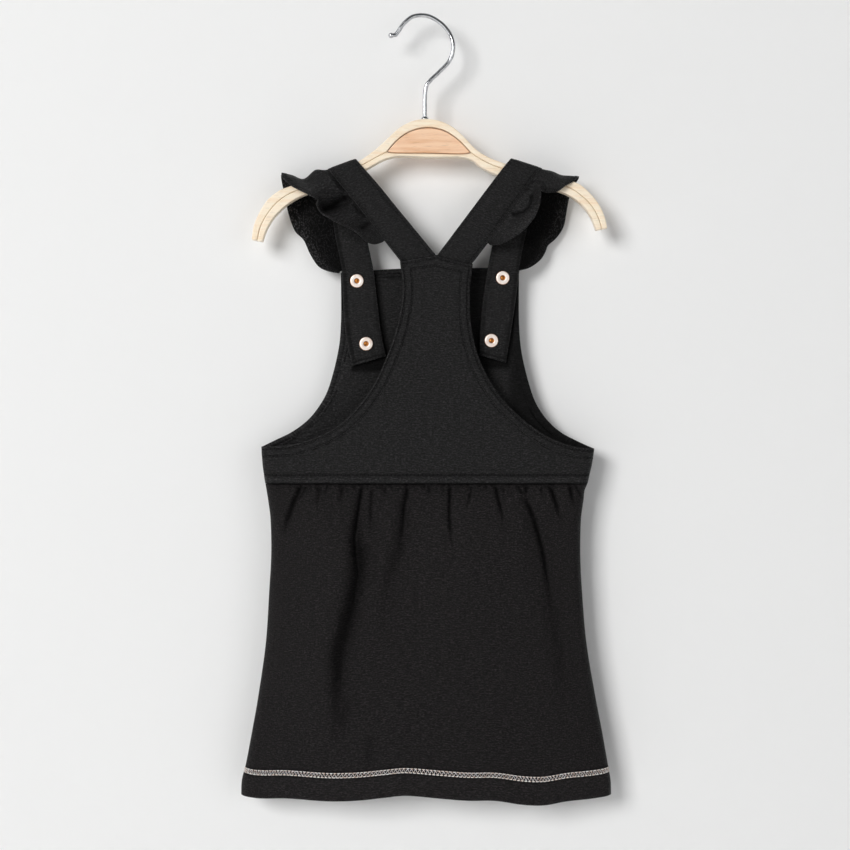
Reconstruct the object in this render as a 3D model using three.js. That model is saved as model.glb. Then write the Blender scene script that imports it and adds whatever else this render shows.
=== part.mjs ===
// Child's pinafore dress in black fleece-backed jersey, hung by its back on a wooden hanger.
// Millimetres, +Z up. The dress back faces -Y, its front faces +Y, and the origin is the hook's inner crown.
import * as THREE from "three";

// Cloth and seams
const seamGap = 0.3;
const skirtCloth = 1.6;
const hemCloth = 2.8;
const hemBand = 21;
const bodiceCloth = 2.6;
const strapCloth = 2.6;
const ruffleCloth = 1.6;
const ridgeHeight = 1.2;
const ridgeWidth = 7;

// Levels and depths of the body of the dress
const waistZ = -366.5;
const hemLevel = -614;
const armShare = 0.74;
const sideRadius = 7;
const bodiceDepth = 9;

// Snaps
const ringRadius = 5.8;
const ringHeight = 1.4;
const capRadius = 5.6;
const capHeight = 1.5;

// Hanger
const woodDepth = 11;
const woodBevel = 1;
const panelRecess = 1;
const wireRadius = 1.75;
const ballRadius = 2.3;
const neckX = 3;
const neckZ = -80.4;
const collarRadius = 3.1;
const collarHeight = 2.2;

// Outline of the skirt, from the waist seam down
const skirtRows = [
  { z: waistZ, left: -122.4, right: 130.8, depth: 9 },
  { z: -372, left: -121.4, right: 128.6, depth: 11.5 },
  { z: -379, left: -120.3, right: 127.8, depth: 13 },
  { z: -394, left: -118.4, right: 125.8, depth: 14.5 },
  { z: -422, left: -117.8, right: 125.2, depth: 15.5 },
  { z: -452, left: -119.4, right: 126.6, depth: 16.5 },
  { z: -492, left: -122.0, right: 130.0, depth: 17.5 },
  { z: -535, left: -128.0, right: 137.0, depth: 18.5 },
  { z: -565, left: -133.2, right: 142.6, depth: 19 },
  { z: -590, left: -137.8, right: 146.8, depth: 19 },
  { z: -603, left: -140.9, right: 149.0, depth: 18.8 },
  { z: -616, left: -141.4, right: 149.4, depth: 18.5 },
];

// Height of the hem's lower edge across the dress
const hemRows = [
  { x: -141, z: -610.5 },
  { x: -127, z: -612.2 },
  { x: -105, z: -611.6 },
  { x: -72, z: -613.2 },
  { x: -50, z: -612.4 },
  { x: -29, z: -610.1 },
  { x: -12, z: -608.4 },
  { x: 15, z: -610.6 },
  { x: 36, z: -612.3 },
  { x: 58, z: -612.6 },
  { x: 80, z: -616.0 },
  { x: 96, z: -616.6 },
  { x: 113, z: -614.0 },
  { x: 134, z: -612.3 },
  { x: 149, z: -610.3 },
];

// Gathers: a soft trough runs from the waist seam at top through middle to end, which lies drop below the seam
const backGathers = [
  { top: -92.5, middle: -99, end: -107, drop: 46, width: 5.5, deep: 3.6 },
  { top: -78.5, middle: -80, end: -81, drop: 15, width: 4, deep: 1.8 },
  { top: -60.5, middle: -63.5, end: -66.5, drop: 27, width: 4.5, deep: 2.6 },
  { top: -46, middle: -51.5, end: -68, drop: 172, width: 8, deep: 4.6 },
  { top: -27.5, middle: -28, end: -28.5, drop: 16, width: 3.6, deep: 1.6 },
  { top: -10, middle: -13.5, end: -19.5, drop: 66, width: 6, deep: 2.8 },
  { top: 6.5, middle: 6.5, end: 6.5, drop: 9, width: 3.6, deep: 1.4 },
  { top: 23.5, middle: 24, end: 25.5, drop: 60, width: 4.6, deep: 3.2 },
  { top: 36, middle: 35.5, end: 34.5, drop: 22, width: 4, deep: 1.4 },
  { top: 60.5, middle: 63.5, end: 67, drop: 36, width: 5, deep: 2.8 },
  { top: 71, middle: 71.5, end: 72, drop: 10, width: 3.6, deep: 1.4 },
  { top: 83, middle: 91, end: 104, drop: 110, width: 7, deep: 4.2 },
  { top: 103.5, middle: 107.5, end: 111.5, drop: 30, width: 5, deep: 2.6 },
  { top: 118, middle: 121, end: 124.5, drop: 20, width: 4, deep: 1.8 },
];
const frontGathers = [
  { top: -104, middle: -107, end: -111, drop: 34, width: 5, deep: 2.6 },
  { top: -84, middle: -88, end: -95, drop: 98, width: 7, deep: 3.8 },
  { top: -66, middle: -67, end: -68, drop: 18, width: 4, deep: 1.6 },
  { top: -51, middle: -54, end: -57, drop: 44, width: 5, deep: 2.8 },
  { top: -33, middle: -33.5, end: -34, drop: 16, width: 4, deep: 1.6 },
  { top: -18, middle: -22, end: -29, drop: 120, width: 7, deep: 3.6 },
  { top: 3, middle: 3, end: 3, drop: 20, width: 4, deep: 1.8 },
  { top: 19, middle: 21, end: 24, drop: 52, width: 5, deep: 2.8 },
  { top: 36, middle: 36.5, end: 37, drop: 16, width: 4, deep: 1.6 },
  { top: 52, middle: 57, end: 66, drop: 150, width: 8, deep: 4.2 },
  { top: 71, middle: 72, end: 73, drop: 22, width: 4, deep: 1.8 },
  { top: 88, middle: 91, end: 95, drop: 48, width: 5, deep: 2.8 },
  { top: 109, middle: 112, end: 116, drop: 30, width: 5, deep: 2.4 },
];

// Soft folds that run down the skirt: the cloth stands out to the left of the line and lies back to its right,
// and the fold dies out between fadeFrom and fadeTo
const backFolds = [
  {
    out: 5.2,
    width: 5.2,
    left: 42,
    right: 60,
    fadeFrom: -500,
    fadeTo: -585,
    line: [
      { x: -46, z: -369 },
      { x: -52, z: -408 },
      { x: -50, z: -430 },
      { x: -54, z: -456 },
      { x: -59, z: -476 },
      { x: -65, z: -500 },
      { x: -67, z: -616 },
    ],
  },
  {
    out: 1.6,
    width: 26,
    left: 70,
    right: 70,
    fadeFrom: -480,
    fadeTo: -600,
    line: [{ x: -22, z: -369 }, { x: -26, z: -450 }, { x: -30, z: -616 }],
  },
  {
    out: 1.8,
    width: 5,
    left: 20,
    right: 26,
    fadeFrom: -430,
    fadeTo: -500,
    line: [{ x: -10, z: -369 }, { x: -15.5, z: -416 }, { x: -27, z: -446 }, { x: -32, z: -616 }],
  },
  {
    out: 2,
    width: 5,
    left: 34,
    right: 22,
    fadeFrom: -480,
    fadeTo: -560,
    line: [{ x: 82, z: -369 }, { x: 94, z: -418 }, { x: 102, z: -466 }, { x: 108, z: -520 }, { x: 112, z: -616 }],
  },
];
const frontFolds = [
  {
    out: 2.4,
    width: 7,
    left: 30,
    right: 40,
    fadeFrom: -520,
    fadeTo: -600,
    line: [{ x: -84, z: -369 }, { x: -92, z: -450 }, { x: -98, z: -616 }],
  },
  {
    out: -1.8,
    width: 7,
    left: 36,
    right: 26,
    fadeFrom: -470,
    fadeTo: -560,
    line: [{ x: -18, z: -369 }, { x: -26, z: -460 }, { x: -30, z: -616 }],
  },
  {
    out: 2.2,
    width: 7,
    left: 26,
    right: 40,
    fadeFrom: -520,
    fadeTo: -600,
    line: [{ x: 52, z: -369 }, { x: 62, z: -470 }, { x: 70, z: -616 }],
  },
];

// Bodice panels: armhole edges from the top corner to the side seam, then the side seam to the waist
const sideSeam = {
  left: [{ x: -125.6, z: -337.6 }, { x: -124.6, z: -352 }, { x: -122.4, z: waistZ }],
  right: [{ x: 136.2, z: -339.0 }, { x: 134.4, z: -351 }, { x: 130.8, z: waistZ }],
};
const backPanel = {
  facing: -1,
  topMiddle: -187.6,
  cornerMiddle: -349,
  bow: 1,
  leftEdge: [
    { x: -16.5, z: -192.3 },
    { x: -14.3, z: -214.3 },
    { x: -17.9, z: -240 },
    { x: -27.1, z: -267.6 },
    { x: -40.9, z: -295.1 },
    { x: -64.7, z: -320.7 },
    { x: -97.8, z: -335 },
  ],
  rightEdge: [
    { x: 40.5, z: -194.7 },
    { x: 38.4, z: -214.3 },
    { x: 39.9, z: -247.4 },
    { x: 49, z: -276.7 },
    { x: 67.4, z: -304.2 },
    { x: 96.7, z: -328.1 },
    { x: 120, z: -337.2 },
  ],
};
const bibPanel = {
  facing: 1,
  topMiddle: -196.4,
  cornerMiddle: -347,
  bow: 2,
  leftEdge: [
    { x: -63.4, z: -200.3 },
    { x: -63.4, z: -239.5 },
    { x: -65.2, z: -260 },
    { x: -73.8, z: -293 },
    { x: -80.2, z: -305 },
    { x: -89.6, z: -316.6 },
    { x: -102.2, z: -326 },
    { x: -115.4, z: -332.5 },
  ],
  rightEdge: [
    { x: 77.5, z: -195.6 },
    { x: 77.5, z: -239.6 },
    { x: 79.4, z: -262.2 },
    { x: 86.9, z: -293 },
    { x: 91.8, z: -305 },
    { x: 99.8, z: -316.6 },
    { x: 110.2, z: -326 },
    { x: 122.6, z: -332.8 },
  ],
};

// Straps: pairs of edge points from the back panel, over the hanger and down inside the bib
const leftStrap = [
  { inX: 11.6, inZ: -187.1, outX: -16.9, outZ: -191.7, y: -7.7 },
  { inX: -3.6, inZ: -168.6, outX: -30.2, outZ: -174.9, y: -7.7 },
  { inX: -18.8, inZ: -150.1, outX: -43.6, outZ: -157.8, y: -7.6 },
  { inX: -34.0, inZ: -131.4, outX: -57.0, outZ: -140.7, y: -7.5 },
  { inX: -46.9, inZ: -116.8, outX: -69.4, outZ: -125.6, y: -7.4 },
  { inX: -50.0, inZ: -113.2, outX: -72.2, outZ: -121.4, y: -5.9 },
  { inX: -51.0, inZ: -112.4, outX: -73.2, outZ: -120.6, y: -2.3 },
  { inX: -51.0, inZ: -112.4, outX: -73.3, outZ: -120.6, y: 2.3 },
  { inX: -50.8, inZ: -113.2, outX: -73.3, outZ: -121.4, y: 5.9 },
  { inX: -50.0, inZ: -118.4, outX: -72.9, outZ: -126.4, y: 7.4 },
  { inX: -47.0, inZ: -144.0, outX: -71.6, outZ: -146.5, y: 7.1 },
  { inX: -43.0, inZ: -170.4, outX: -68.8, outZ: -169.5, y: 6.0 },
  { inX: -37.0, inZ: -200.5, outX: -62.8, outZ: -200.5, y: 4.3 },
  { inX: -34.0, inZ: -225.0, outX: -61.6, outZ: -225.6, y: 4.2 },
  { inX: -31.0, inZ: -248.7, outX: -59.2, outZ: -252.4, y: 4.2 },
  { inX: -27.2, inZ: -266.2, outX: -54.6, outZ: -274.2, y: 4.2 },
];
const rightStrap = [
  { inX: 12.8, inZ: -187.1, outX: 40.3, outZ: -194.1, y: -7.7 },
  { inX: 26.8, inZ: -168.4, outX: 52.6, outZ: -178.2, y: -7.7 },
  { inX: 41.2, inZ: -149.2, outX: 66.2, outZ: -159.2, y: -7.6 },
  { inX: 55.6, inZ: -130.0, outX: 80.0, outZ: -139.8, y: -7.5 },
  { inX: 66.8, inZ: -115.6, outX: 91.6, outZ: -123.9, y: -7.4 },
  { inX: 69.4, inZ: -112.8, outX: 94.2, outZ: -120.9, y: -5.7 },
  { inX: 70.2, inZ: -112.0, outX: 95.0, outZ: -120.0, y: -2.3 },
  { inX: 70.2, inZ: -112.0, outX: 95.0, outZ: -120.0, y: 2.3 },
  { inX: 69.8, inZ: -113.2, outX: 94.6, outZ: -121.4, y: 5.9 },
  { inX: 68.6, inZ: -118.6, outX: 94.0, outZ: -126.4, y: 7.4 },
  { inX: 62.2, inZ: -147.0, outX: 88.4, outZ: -150.0, y: 7.1 },
  { inX: 55.7, inZ: -179.5, outX: 81.2, outZ: -179.5, y: 5.5 },
  { inX: 52.0, inZ: -200.0, outX: 77.6, outZ: -200.0, y: 4.3 },
  { inX: 48.6, inZ: -221.0, outX: 74.8, outZ: -222.4, y: 4.2 },
  { inX: 46.2, inZ: -246.0, outX: 70.8, outZ: -249.8, y: 4.2 },
  { inX: 45.4, inZ: -265.4, outX: 67.2, outZ: -271.6, y: 4.2 },
];

// Ruffles: the free edge, against where it is sewn along the strap (in strap rows), from back to front
const leftRuffle = [
  { row: 0.98, x: -30.4, y: -8.6, z: -176.8 },
  { row: 1.05, x: -36.5, y: -10, z: -179.2 },
  { row: 1.25, x: -42.8, y: -12, z: -177.2 },
  { row: 1.5, x: -48.6, y: -14, z: -171.8 },
  { row: 1.8, x: -54.8, y: -15.5, z: -167.4 },
  { row: 2.1, x: -62.5, y: -15.5, z: -164.4 },
  { row: 2.4, x: -70, y: -15, z: -160.8 },
  { row: 2.68, x: -76.6, y: -17, z: -155.8 },
  { row: 2.9, x: -80.4, y: -20, z: -150.6 },
  { row: 3.1, x: -79.6, y: -22.5, z: -146.2 },
  { row: 3.45, x: -86.1, y: -21.5, z: -142.2 },
  { row: 3.95, x: -95, y: -18, z: -137.2 },
  { row: 4.5, x: -102.4, y: -14, z: -132.6 },
  { row: 5.2, x: -108.4, y: -9, z: -127 },
  { row: 6.3, x: -109.4, y: -1.5, z: -124 },
  { row: 8.2, x: -109.2, y: 8.5, z: -129.6 },
  { row: 9.1, x: -107.6, y: 14, z: -140 },
  { row: 9.6, x: -105.4, y: 16.5, z: -152 },
  { row: 10.1, x: -99.8, y: 18.5, z: -166.4 },
  { row: 10.6, x: -92.8, y: 15.5, z: -173.6 },
  { row: 11, x: -87.6, y: 14.5, z: -184.6 },
  { row: 11.4, x: -80.6, y: 11.5, z: -195 },
  { row: 11.7, x: -72.8, y: 8, z: -199.8 },
  { row: 11.95, x: -65.4, y: 5.4, z: -200.8 },
];
const rightRuffle = [
  { row: 1.02, x: 54.2, y: -8.6, z: -177.8 },
  { row: 1.12, x: 59, y: -10, z: -179.6 },
  { row: 1.35, x: 66, y: -12.5, z: -177.2 },
  { row: 1.65, x: 74.6, y: -15, z: -172.2 },
  { row: 2, x: 82.4, y: -17, z: -165.8 },
  { row: 2.35, x: 88, y: -18.5, z: -158 },
  { row: 2.7, x: 91, y: -19.5, z: -150.2 },
  { row: 3.05, x: 92, y: -20, z: -142.2 },
  { row: 3.4, x: 92.4, y: -17.5, z: -137.6 },
  { row: 3.8, x: 98.4, y: -12.5, z: -138.8 },
  { row: 4.4, x: 106.4, y: -12.5, z: -138 },
  { row: 5, x: 112.8, y: -11.6, z: -132.6 },
  { row: 5.6, x: 118.4, y: -8.4, z: -128.6 },
  { row: 6.6, x: 124.4, y: 0.5, z: -125 },
  { row: 8.2, x: 121.8, y: 8.5, z: -130 },
  { row: 9.1, x: 117.6, y: 13.5, z: -139.6 },
  { row: 9.6, x: 115.2, y: 16.5, z: -151 },
  { row: 10.1, x: 112.6, y: 17.5, z: -163.2 },
  { row: 10.45, x: 107, y: 16.5, z: -171.6 },
  { row: 10.7, x: 100, y: 14.5, z: -178 },
  { row: 10.9, x: 98, y: 13, z: -183 },
  { row: 11.15, x: 95.6, y: 12, z: -187.4 },
  { row: 11.4, x: 91.2, y: 10.2, z: -192 },
  { row: 11.7, x: 85, y: 7.2, z: -197 },
  { row: 11.95, x: 79.4, y: 5.2, z: -199.4 },
];

// How far each ruffle sinks between the strap and its tip, over the hanger
const leftDip = 2.9;
const rightDip = 0.8;

// Snap centres, seen from behind
const snaps = [
  { name: "snap_ring_upper_left", x: -50.6, z: -207.0, y: 2.9 },
  { name: "snap_ring_lower_left", x: -43.3, z: -256.5, y: 2.9 },
  { name: "snap_ring_upper_right", x: 64.3, z: -204.6, y: 2.9 },
  { name: "snap_ring_lower_right", x: 55.4, z: -254.0, y: 2.9 },
];
const caps = [
  { name: "snap_cap_left", x: -50.6, z: -207.0 },
  { name: "snap_cap_right", x: 64.3, z: -204.6 },
];

// Hanger outline, from the left tip over the shoulders to the right tip and back underneath
const hangerTop = [
  { x: -132.6, z: -175 },
  { x: -131.3, z: -165 },
  { x: -127.3, z: -155 },
  { x: -120.3, z: -144 },
  { x: -110.5, z: -136.4 },
  { x: -102.2, z: -133.2 },
  { x: -73, z: -122.9 },
  { x: -50, z: -114.4 },
  { x: -36, z: -104.8 },
  { x: -27, z: -96.8 },
  { x: -17, z: -87.6 },
  { x: -7, z: -82.4 },
  { x: 3, z: -80.6 },
  { x: 14.2, z: -82 },
  { x: 25.3, z: -87.3 },
  { x: 34.3, z: -95.3 },
  { x: 42.3, z: -103.8 },
  { x: 51.4, z: -109.9 },
  { x: 62.9, z: -114.6 },
  { x: 82, z: -120 },
  { x: 108, z: -126.8 },
  { x: 123.6, z: -131.4 },
  { x: 132.6, z: -139 },
  { x: 139.7, z: -148 },
  { x: 144.2, z: -158 },
  { x: 146, z: -166 },
];
const hangerUnder = [
  { x: 137.4, z: -167.6 },
  { x: 133.6, z: -158 },
  { x: 127.8, z: -149.6 },
  { x: 118.6, z: -142 },
  { x: 107.6, z: -136.8 },
  { x: 82, z: -130.2 },
  { x: 58.4, z: -124 },
  { x: 47.3, z: -118.4 },
  { x: 37.4, z: -111.6 },
  { x: 7, z: -110.6 },
  { x: -24, z: -110.6 },
  { x: -42, z: -119.4 },
  { x: -62, z: -128.2 },
  { x: -89.2, z: -139 },
  { x: -99.3, z: -143.8 },
  { x: -107.3, z: -149.5 },
  { x: -115.3, z: -157.6 },
  { x: -121, z: -167 },
  { x: -124.4, z: -176.6 },
];
const panelOutline = [
  { x: -27.2, z: -106.6 },
  { x: -19.5, z: -97.6 },
  { x: -9, z: -90.2 },
  { x: 4.5, z: -87 },
  { x: 17.5, z: -89.2 },
  { x: 28.5, z: -96 },
  { x: 39.5, z: -107.2 },
  { x: 34, z: -108.2 },
  { x: 7, z: -107.6 },
  { x: -22, z: -107.4 },
];

// Middle of the hook's wire, from the ball at its tip over the crown and back to the neck
const hookLine = [
  { x: -25.8, z: -14.2 },
  { x: -22.6, z: -13.9 },
  { x: -19.8, z: -12.9 },
  { x: -18, z: -10.2 },
  { x: -15.6, z: -6.4 },
  { x: -11.6, z: -2.4 },
  { x: -6.4, z: 0.7 },
  { x: 0, z: 1.75 },
  { x: 6.2, z: 0.9 },
  { x: 11.4, z: -1.6 },
  { x: 16.2, z: -5 },
  { x: 20.4, z: -9.4 },
  { x: 23.6, z: -14.8 },
  { x: 25.2, z: -21.2 },
  { x: 24.8, z: -27.8 },
  { x: 22, z: -34.6 },
  { x: 14.6, z: -42.6 },
  { x: 7.8, z: -49 },
  { x: 4.4, z: -53.4 },
  { x: 3.2, z: -60 },
  { x: 3, z: -68 },
];

const black = { color: 0x1f1e1f, roughness: 0.95, metalness: 0 };
const wood = { color: 0xf1e2cf, roughness: 0.55, metalness: 0 };
const panelWood = { color: 0xe9c6a2, roughness: 0.5, metalness: 0 };
const chrome = { color: 0xb9bcc0, roughness: 0.15, metalness: 1 };
const roseGold = { color: 0xe0a98c, roughness: 0.25, metalness: 1 };

// Value of a column at a place in a table whose rows are sorted along another column
function lookUp(rows, along, column, place) {
  const rising = rows[rows.length - 1][along] > rows[0][along];
  const last = rows.length - 1;
  let i = 0;
  while (i < last - 1 && (rising ? place > rows[i + 1][along] : place < rows[i + 1][along])) {
    i += 1;
  }
  const span = rows[i + 1][along] - rows[i][along];
  const share = THREE.MathUtils.clamp((place - rows[i][along]) / span, 0, 1);
  const before = rows[Math.max(i - 1, 0)];
  const after = rows[Math.min(i + 2, last)];
  const slopeIn = slope(before, rows[i + 1], along, column) * span;
  const slopeOut = slope(rows[i], after, along, column) * span;
  const rise = rows[i + 1][column] - rows[i][column];
  const s2 = share * share;
  const s3 = s2 * share;
  return rows[i][column] + rise * (3 * s2 - 2 * s3) + slopeIn * (s3 - 2 * s2 + share) + slopeOut * (s3 - s2);
}

function slope(a, b, along, column) {
  return (b[column] - a[column]) / (b[along] - a[along]);
}

// A closed body from two grids of points, the outer skin and the inner one
function closedSkin(columns, rows, outer, inner) {
  const positions = [];
  const index = [];
  const wide = columns + 1;
  for (const skin of [outer, inner]) {
    for (const point of skin) {
      positions.push(point.x, point.y, point.z);
    }
  }
  const quad = (a, b, c, d) => index.push(a, b, c, a, c, d);
  const half = wide * (rows + 1);
  for (let j = 0; j < rows; j += 1) {
    for (let i = 0; i < columns; i += 1) {
      const a = j * wide + i;
      quad(a, a + 1, a + wide + 1, a + wide);
      quad(half + a, half + a + wide, half + a + wide + 1, half + a + 1);
    }
  }
  const rim = (a, b) => quad(a, a + half, b + half, b);
  for (let i = 0; i < columns; i += 1) {
    rim(i, i + 1);
    rim(rows * wide + i + 1, rows * wide + i);
  }
  for (let j = 0; j < rows; j += 1) {
    rim((j + 1) * wide, j * wide);
    rim(j * wide + columns, (j + 1) * wide + columns);
  }
  return orient(positions, index);
}

// Turns the faces out where the signed volume comes out negative
function orient(positions, index) {
  const at = (i) => new THREE.Vector3().fromArray(positions, 3 * i);
  let volume = 0;
  for (let i = 0; i < index.length; i += 3) {
    volume += at(index[i]).dot(at(index[i + 1]).cross(at(index[i + 2])));
  }
  if (volume < 0) {
    index.reverse();
  }
  const geometry = new THREE.BufferGeometry();
  geometry.setAttribute("position", new THREE.Float32BufferAttribute(positions, 3));
  geometry.setIndex(index);
  geometry.computeVertexNormals();
  return geometry;
}

// A cloth wall: skinAt(u, v) is its outer face, and the cloth lies inside it. A level wall keeps its rims level
function clothWall({ columns, rows, skinAt, outward, thickness, level, columnAt = (u) => u, rowAt = (v) => v }) {
  const step = 1e-3;
  const outer = [];
  const inner = [];
  for (let j = 0; j <= rows; j += 1) {
    for (let i = 0; i <= columns; i += 1) {
      const u = columnAt(i / columns);
      const v = rowAt(j / rows);
      const point = skinAt(u, v);
      const across = skinAt(Math.min(u + step, 1), v).sub(skinAt(Math.max(u - step, 0), v));
      const down = skinAt(u, Math.min(v + step, 1)).sub(skinAt(u, Math.max(v - step, 0)));
      const normal = level ? new THREE.Vector3(across.y, -across.x, 0) : across.cross(down);
      normal.normalize();
      if (normal.dot(outward(u, v)) < 0) {
        normal.negate();
      }
      const deep = typeof thickness === "number" ? thickness : thickness(u, v);
      outer.push(point);
      inner.push(point.clone().addScaledVector(normal, -deep));
    }
  }
  return closedSkin(columns, rows, outer, inner);
}

// Section of the dress at one level: flat in the middle, bulged a little, with a round fold at each side.
// The distance is measured along the cloth from the middle, and the result is the place across and the depth
function sectionAt(distance, half, depth) {
  const flat = half - sideRadius;
  const along = Math.abs(distance);
  const angle = Math.max(along - flat, 0) / sideRadius;
  const x = along <= flat ? along : flat + sideRadius * Math.sin(angle);
  const round = along <= flat ? sideRadius : sideRadius * Math.cos(angle);
  const bulge = (depth - sideRadius) * (1 - Math.pow(Math.min(x / half, 1), 2.4));
  return { x: Math.sign(distance) * x, y: round + bulge };
}

// Distance along the cloth from the middle out to a place across the section
function unrolled(x, half) {
  const flat = half - sideRadius;
  const past = Math.abs(x) - flat;
  const round = past <= 0 ? past : sideRadius * Math.asin(Math.min(past / sideRadius, 1));
  return Math.sign(x) * (flat + round);
}

// Spreads the columns so that they close up towards both side folds
function spread(u, closeness) {
  const s = 2 * u - 1;
  return (1 - closeness) * s + closeness * Math.sin((Math.PI / 2) * s);
}

// How far the gathers push the cloth in at a place on the skirt
function gatherDepth(gathers, x, below) {
  let sum = 0;
  for (const gather of gathers) {
    const run = below / gather.drop;
    if (run > 1.25) {
      continue;
    }
    const line = quadratic(gather.top, gather.middle, gather.end, Math.min(run, 1));
    const width = gather.width * (0.75 + 0.6 * run);
    const fade = THREE.MathUtils.smoothstep(1.25 - run, 0, 0.8);
    sum += gather.deep * fade * bell(x - line, width);
  }
  return sum;
}

function bell(distance, width) {
  return Math.exp(-Math.pow(distance / width, 2));
}

function quadratic(start, middle, end, t) {
  const rise = 2 * t * t - t;
  return start * (1 - 3 * t + 2 * t * t) + middle * 4 * (t - t * t) + end * rise;
}

// How far the folds that run down the skirt move the cloth out at a place
function foldOut(folds, x, z, below) {
  let sum = 0;
  for (const fold of folds) {
    const away = x - lookUp(fold.line, "z", "x", z);
    const reach = away < 0 ? fold.left : fold.right;
    const fade = THREE.MathUtils.smoothstep(z, fold.fadeTo, fold.fadeFrom);
    sum -= fold.out * fade * Math.tanh(away / fold.width) * bell(away, reach);
  }
  return sum * THREE.MathUtils.smoothstep(below, 2, 45);
}

function makeSkirt({ facing, fullness, gathers, folds, columns, rows }) {
  const topZ = waistZ - seamGap;
  const drop = topZ - hemLevel;
  const hemShare = 1 - hemBand / drop;
  const skinAt = (u, v) => {
    const nearZ = topZ - drop * v;
    const left = lookUp(skirtRows, "z", "left", nearZ);
    const right = lookUp(skirtRows, "z", "right", nearZ);
    const depth = sideRadius + fullness * (lookUp(skirtRows, "z", "depth", nearZ) - sideRadius);
    const half = (right - left) / 2;
    const middle = (right + left) / 2;
    const section = sectionAt(spread(u, 0.5) * unrolled(half, half), half, depth);
    const x = middle + section.x;
    const sideFade = THREE.MathUtils.smoothstep(half - Math.abs(section.x), 2, 12);
    const inward = gatherDepth(gathers, x, topZ - nearZ) - foldOut(folds, x, nearZ, topZ - nearZ);
    const z = topZ + (lookUp(hemRows, "x", "z", x) - topZ) * v;
    return new THREE.Vector3(x, facing * (seamGap / 2 + section.y - inward * sideFade), z);
  };
  const outward = (u) => new THREE.Vector3(2 * u - 1, u === 0 || u === 1 ? 0 : facing, 0);
  const thickness = (u, v) => (v > hemShare ? hemCloth : skirtCloth);
  const rowAt = (v) => (v < 0.72 ? Math.pow(v / 0.72, 1.35) * 0.86 : 0.86 + (v - 0.72) * 0.5);
  return clothWall({ columns, rows, skinAt, outward, thickness, level: true, rowAt });
}

function edgeCurve(points) {
  const places = points.map((p) => new THREE.Vector3(p.x, 0, p.z));
  return new THREE.CatmullRomCurve3(places, false, "centripetal");
}

// One bodice panel: its rows run from armhole to armhole, then from side seam to side seam down to the waist
function makeBodicePanel(panel, columns, rows) {
  const corners = { left: sideSeam.left[0], right: sideSeam.right[0] };
  const armhole = {
    left: edgeCurve([...panel.leftEdge, corners.left]),
    right: edgeCurve([...panel.rightEdge, corners.right]),
  };
  const side = { left: edgeCurve(sideSeam.left), right: edgeCurve(sideSeam.right) };
  const edgePoint = (name, v) =>
    v < armShare ? armhole[name].getPointAt(v / armShare) : side[name].getPoint((v - armShare) / (1 - armShare));
  const skinAt = (u, v) => {
    const left = edgePoint("left", v);
    const right = edgePoint("right", v);
    const low = THREE.MathUtils.clamp((v - armShare) / (1 - armShare), 0, 1);
    const high = Math.min(v / armShare, 1);
    const sideLeft = side.left.getPoint(low);
    const sideRight = side.right.getPoint(low);
    const half = (sideRight.x - sideLeft.x) / 2;
    const centre = (sideRight.x + sideLeft.x) / 2;
    const from = unrolled(left.x - centre, half);
    const to = unrolled(right.x - centre, half);
    const s = spread(u, 0.5 * high);
    const distance = (from + to) / 2 + (s * (to - from)) / 2;
    const section = sectionAt(distance, half, bodiceDepth);
    const middleZ = low > 0
      ? THREE.MathUtils.lerp(panel.cornerMiddle, waistZ, low)
      : THREE.MathUtils.lerp(panel.topMiddle, panel.cornerMiddle, high);
    const endZ = u < 0.5 ? left.z : right.z;
    const bow = THREE.MathUtils.lerp(panel.bow, 2, Math.min(3 * high, 1));
    const z = middleZ + (endZ - middleZ) * Math.pow(Math.abs(s), bow);
    const ridge = ridgeHeight * ridgeShape((z - waistZ) / ridgeWidth);
    return new THREE.Vector3(centre + section.x, panel.facing * (seamGap / 2 + section.y + ridge), z);
  };
  const outward = (u, v) => {
    const atSeam = (u === 0 || u === 1) && v >= armShare;
    return new THREE.Vector3(atSeam ? 2 * u - 1 : 0, atSeam ? 0 : panel.facing, 0);
  };
  const rowAt = (v) => (v < 0.6 ? (v / 0.6) * armShare : armShare + ((v - 0.6) / 0.4) * (1 - armShare));
  return clothWall({ columns, rows, skinAt, outward, thickness: bodiceCloth, level: true, rowAt });
}

// Cross-section of the turned-up seam allowance above the waist, fullest just above the seam (0) and flat at
// its upper stitch line (1)
function ridgeShape(share) {
  return share <= 0 || share >= 1 ? 0 : Math.pow(Math.sin(Math.PI * Math.pow(share, 0.6)), 0.8);
}

function strapEdges(strap) {
  const curve = (x, z) =>
    new THREE.CatmullRomCurve3(strap.map((row) => new THREE.Vector3(row[x], row.y, row[z])), false, "centripetal");
  return { inner: curve("inX", "inZ"), outer: curve("outX", "outZ") };
}

function strapMiddle(strap, t) {
  const edges = strapEdges(strap);
  return edges.inner.getPoint(t).add(edges.outer.getPoint(t)).multiplyScalar(0.5);
}

// Direction away from the hanger: back on the back leg, up over the wood, forward on the front leg
function strapOutward(strap, t) {
  const step = 0.01;
  const along = strapMiddle(strap, Math.min(t + step, 1)).sub(strapMiddle(strap, Math.max(t - step, 0)));
  const edges = strapEdges(strap);
  const across = edges.outer.getPoint(t).sub(edges.inner.getPoint(t));
  const normal = along.cross(across).normalize();
  const middle = strapMiddle(strap, t);
  const overWood = t * (strap.length - 1) > 4 && t * (strap.length - 1) < 9;
  const hint = new THREE.Vector3(0, Math.sign(middle.y), overWood ? 2 : 0);
  return normal.dot(hint) < 0 ? normal.negate() : normal;
}

function makeStrap(strap) {
  const edges = strapEdges(strap);
  const skinAt = (u, v) => {
    const place = edges.inner.getPoint(v).lerp(edges.outer.getPoint(v), u);
    return place.addScaledVector(strapOutward(strap, v), strapCloth / 2);
  };
  const outward = (u, v) => strapOutward(strap, v);
  return clothWall({ columns: 3, rows: 36, skinAt, outward, thickness: strapCloth, level: false });
}

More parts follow.
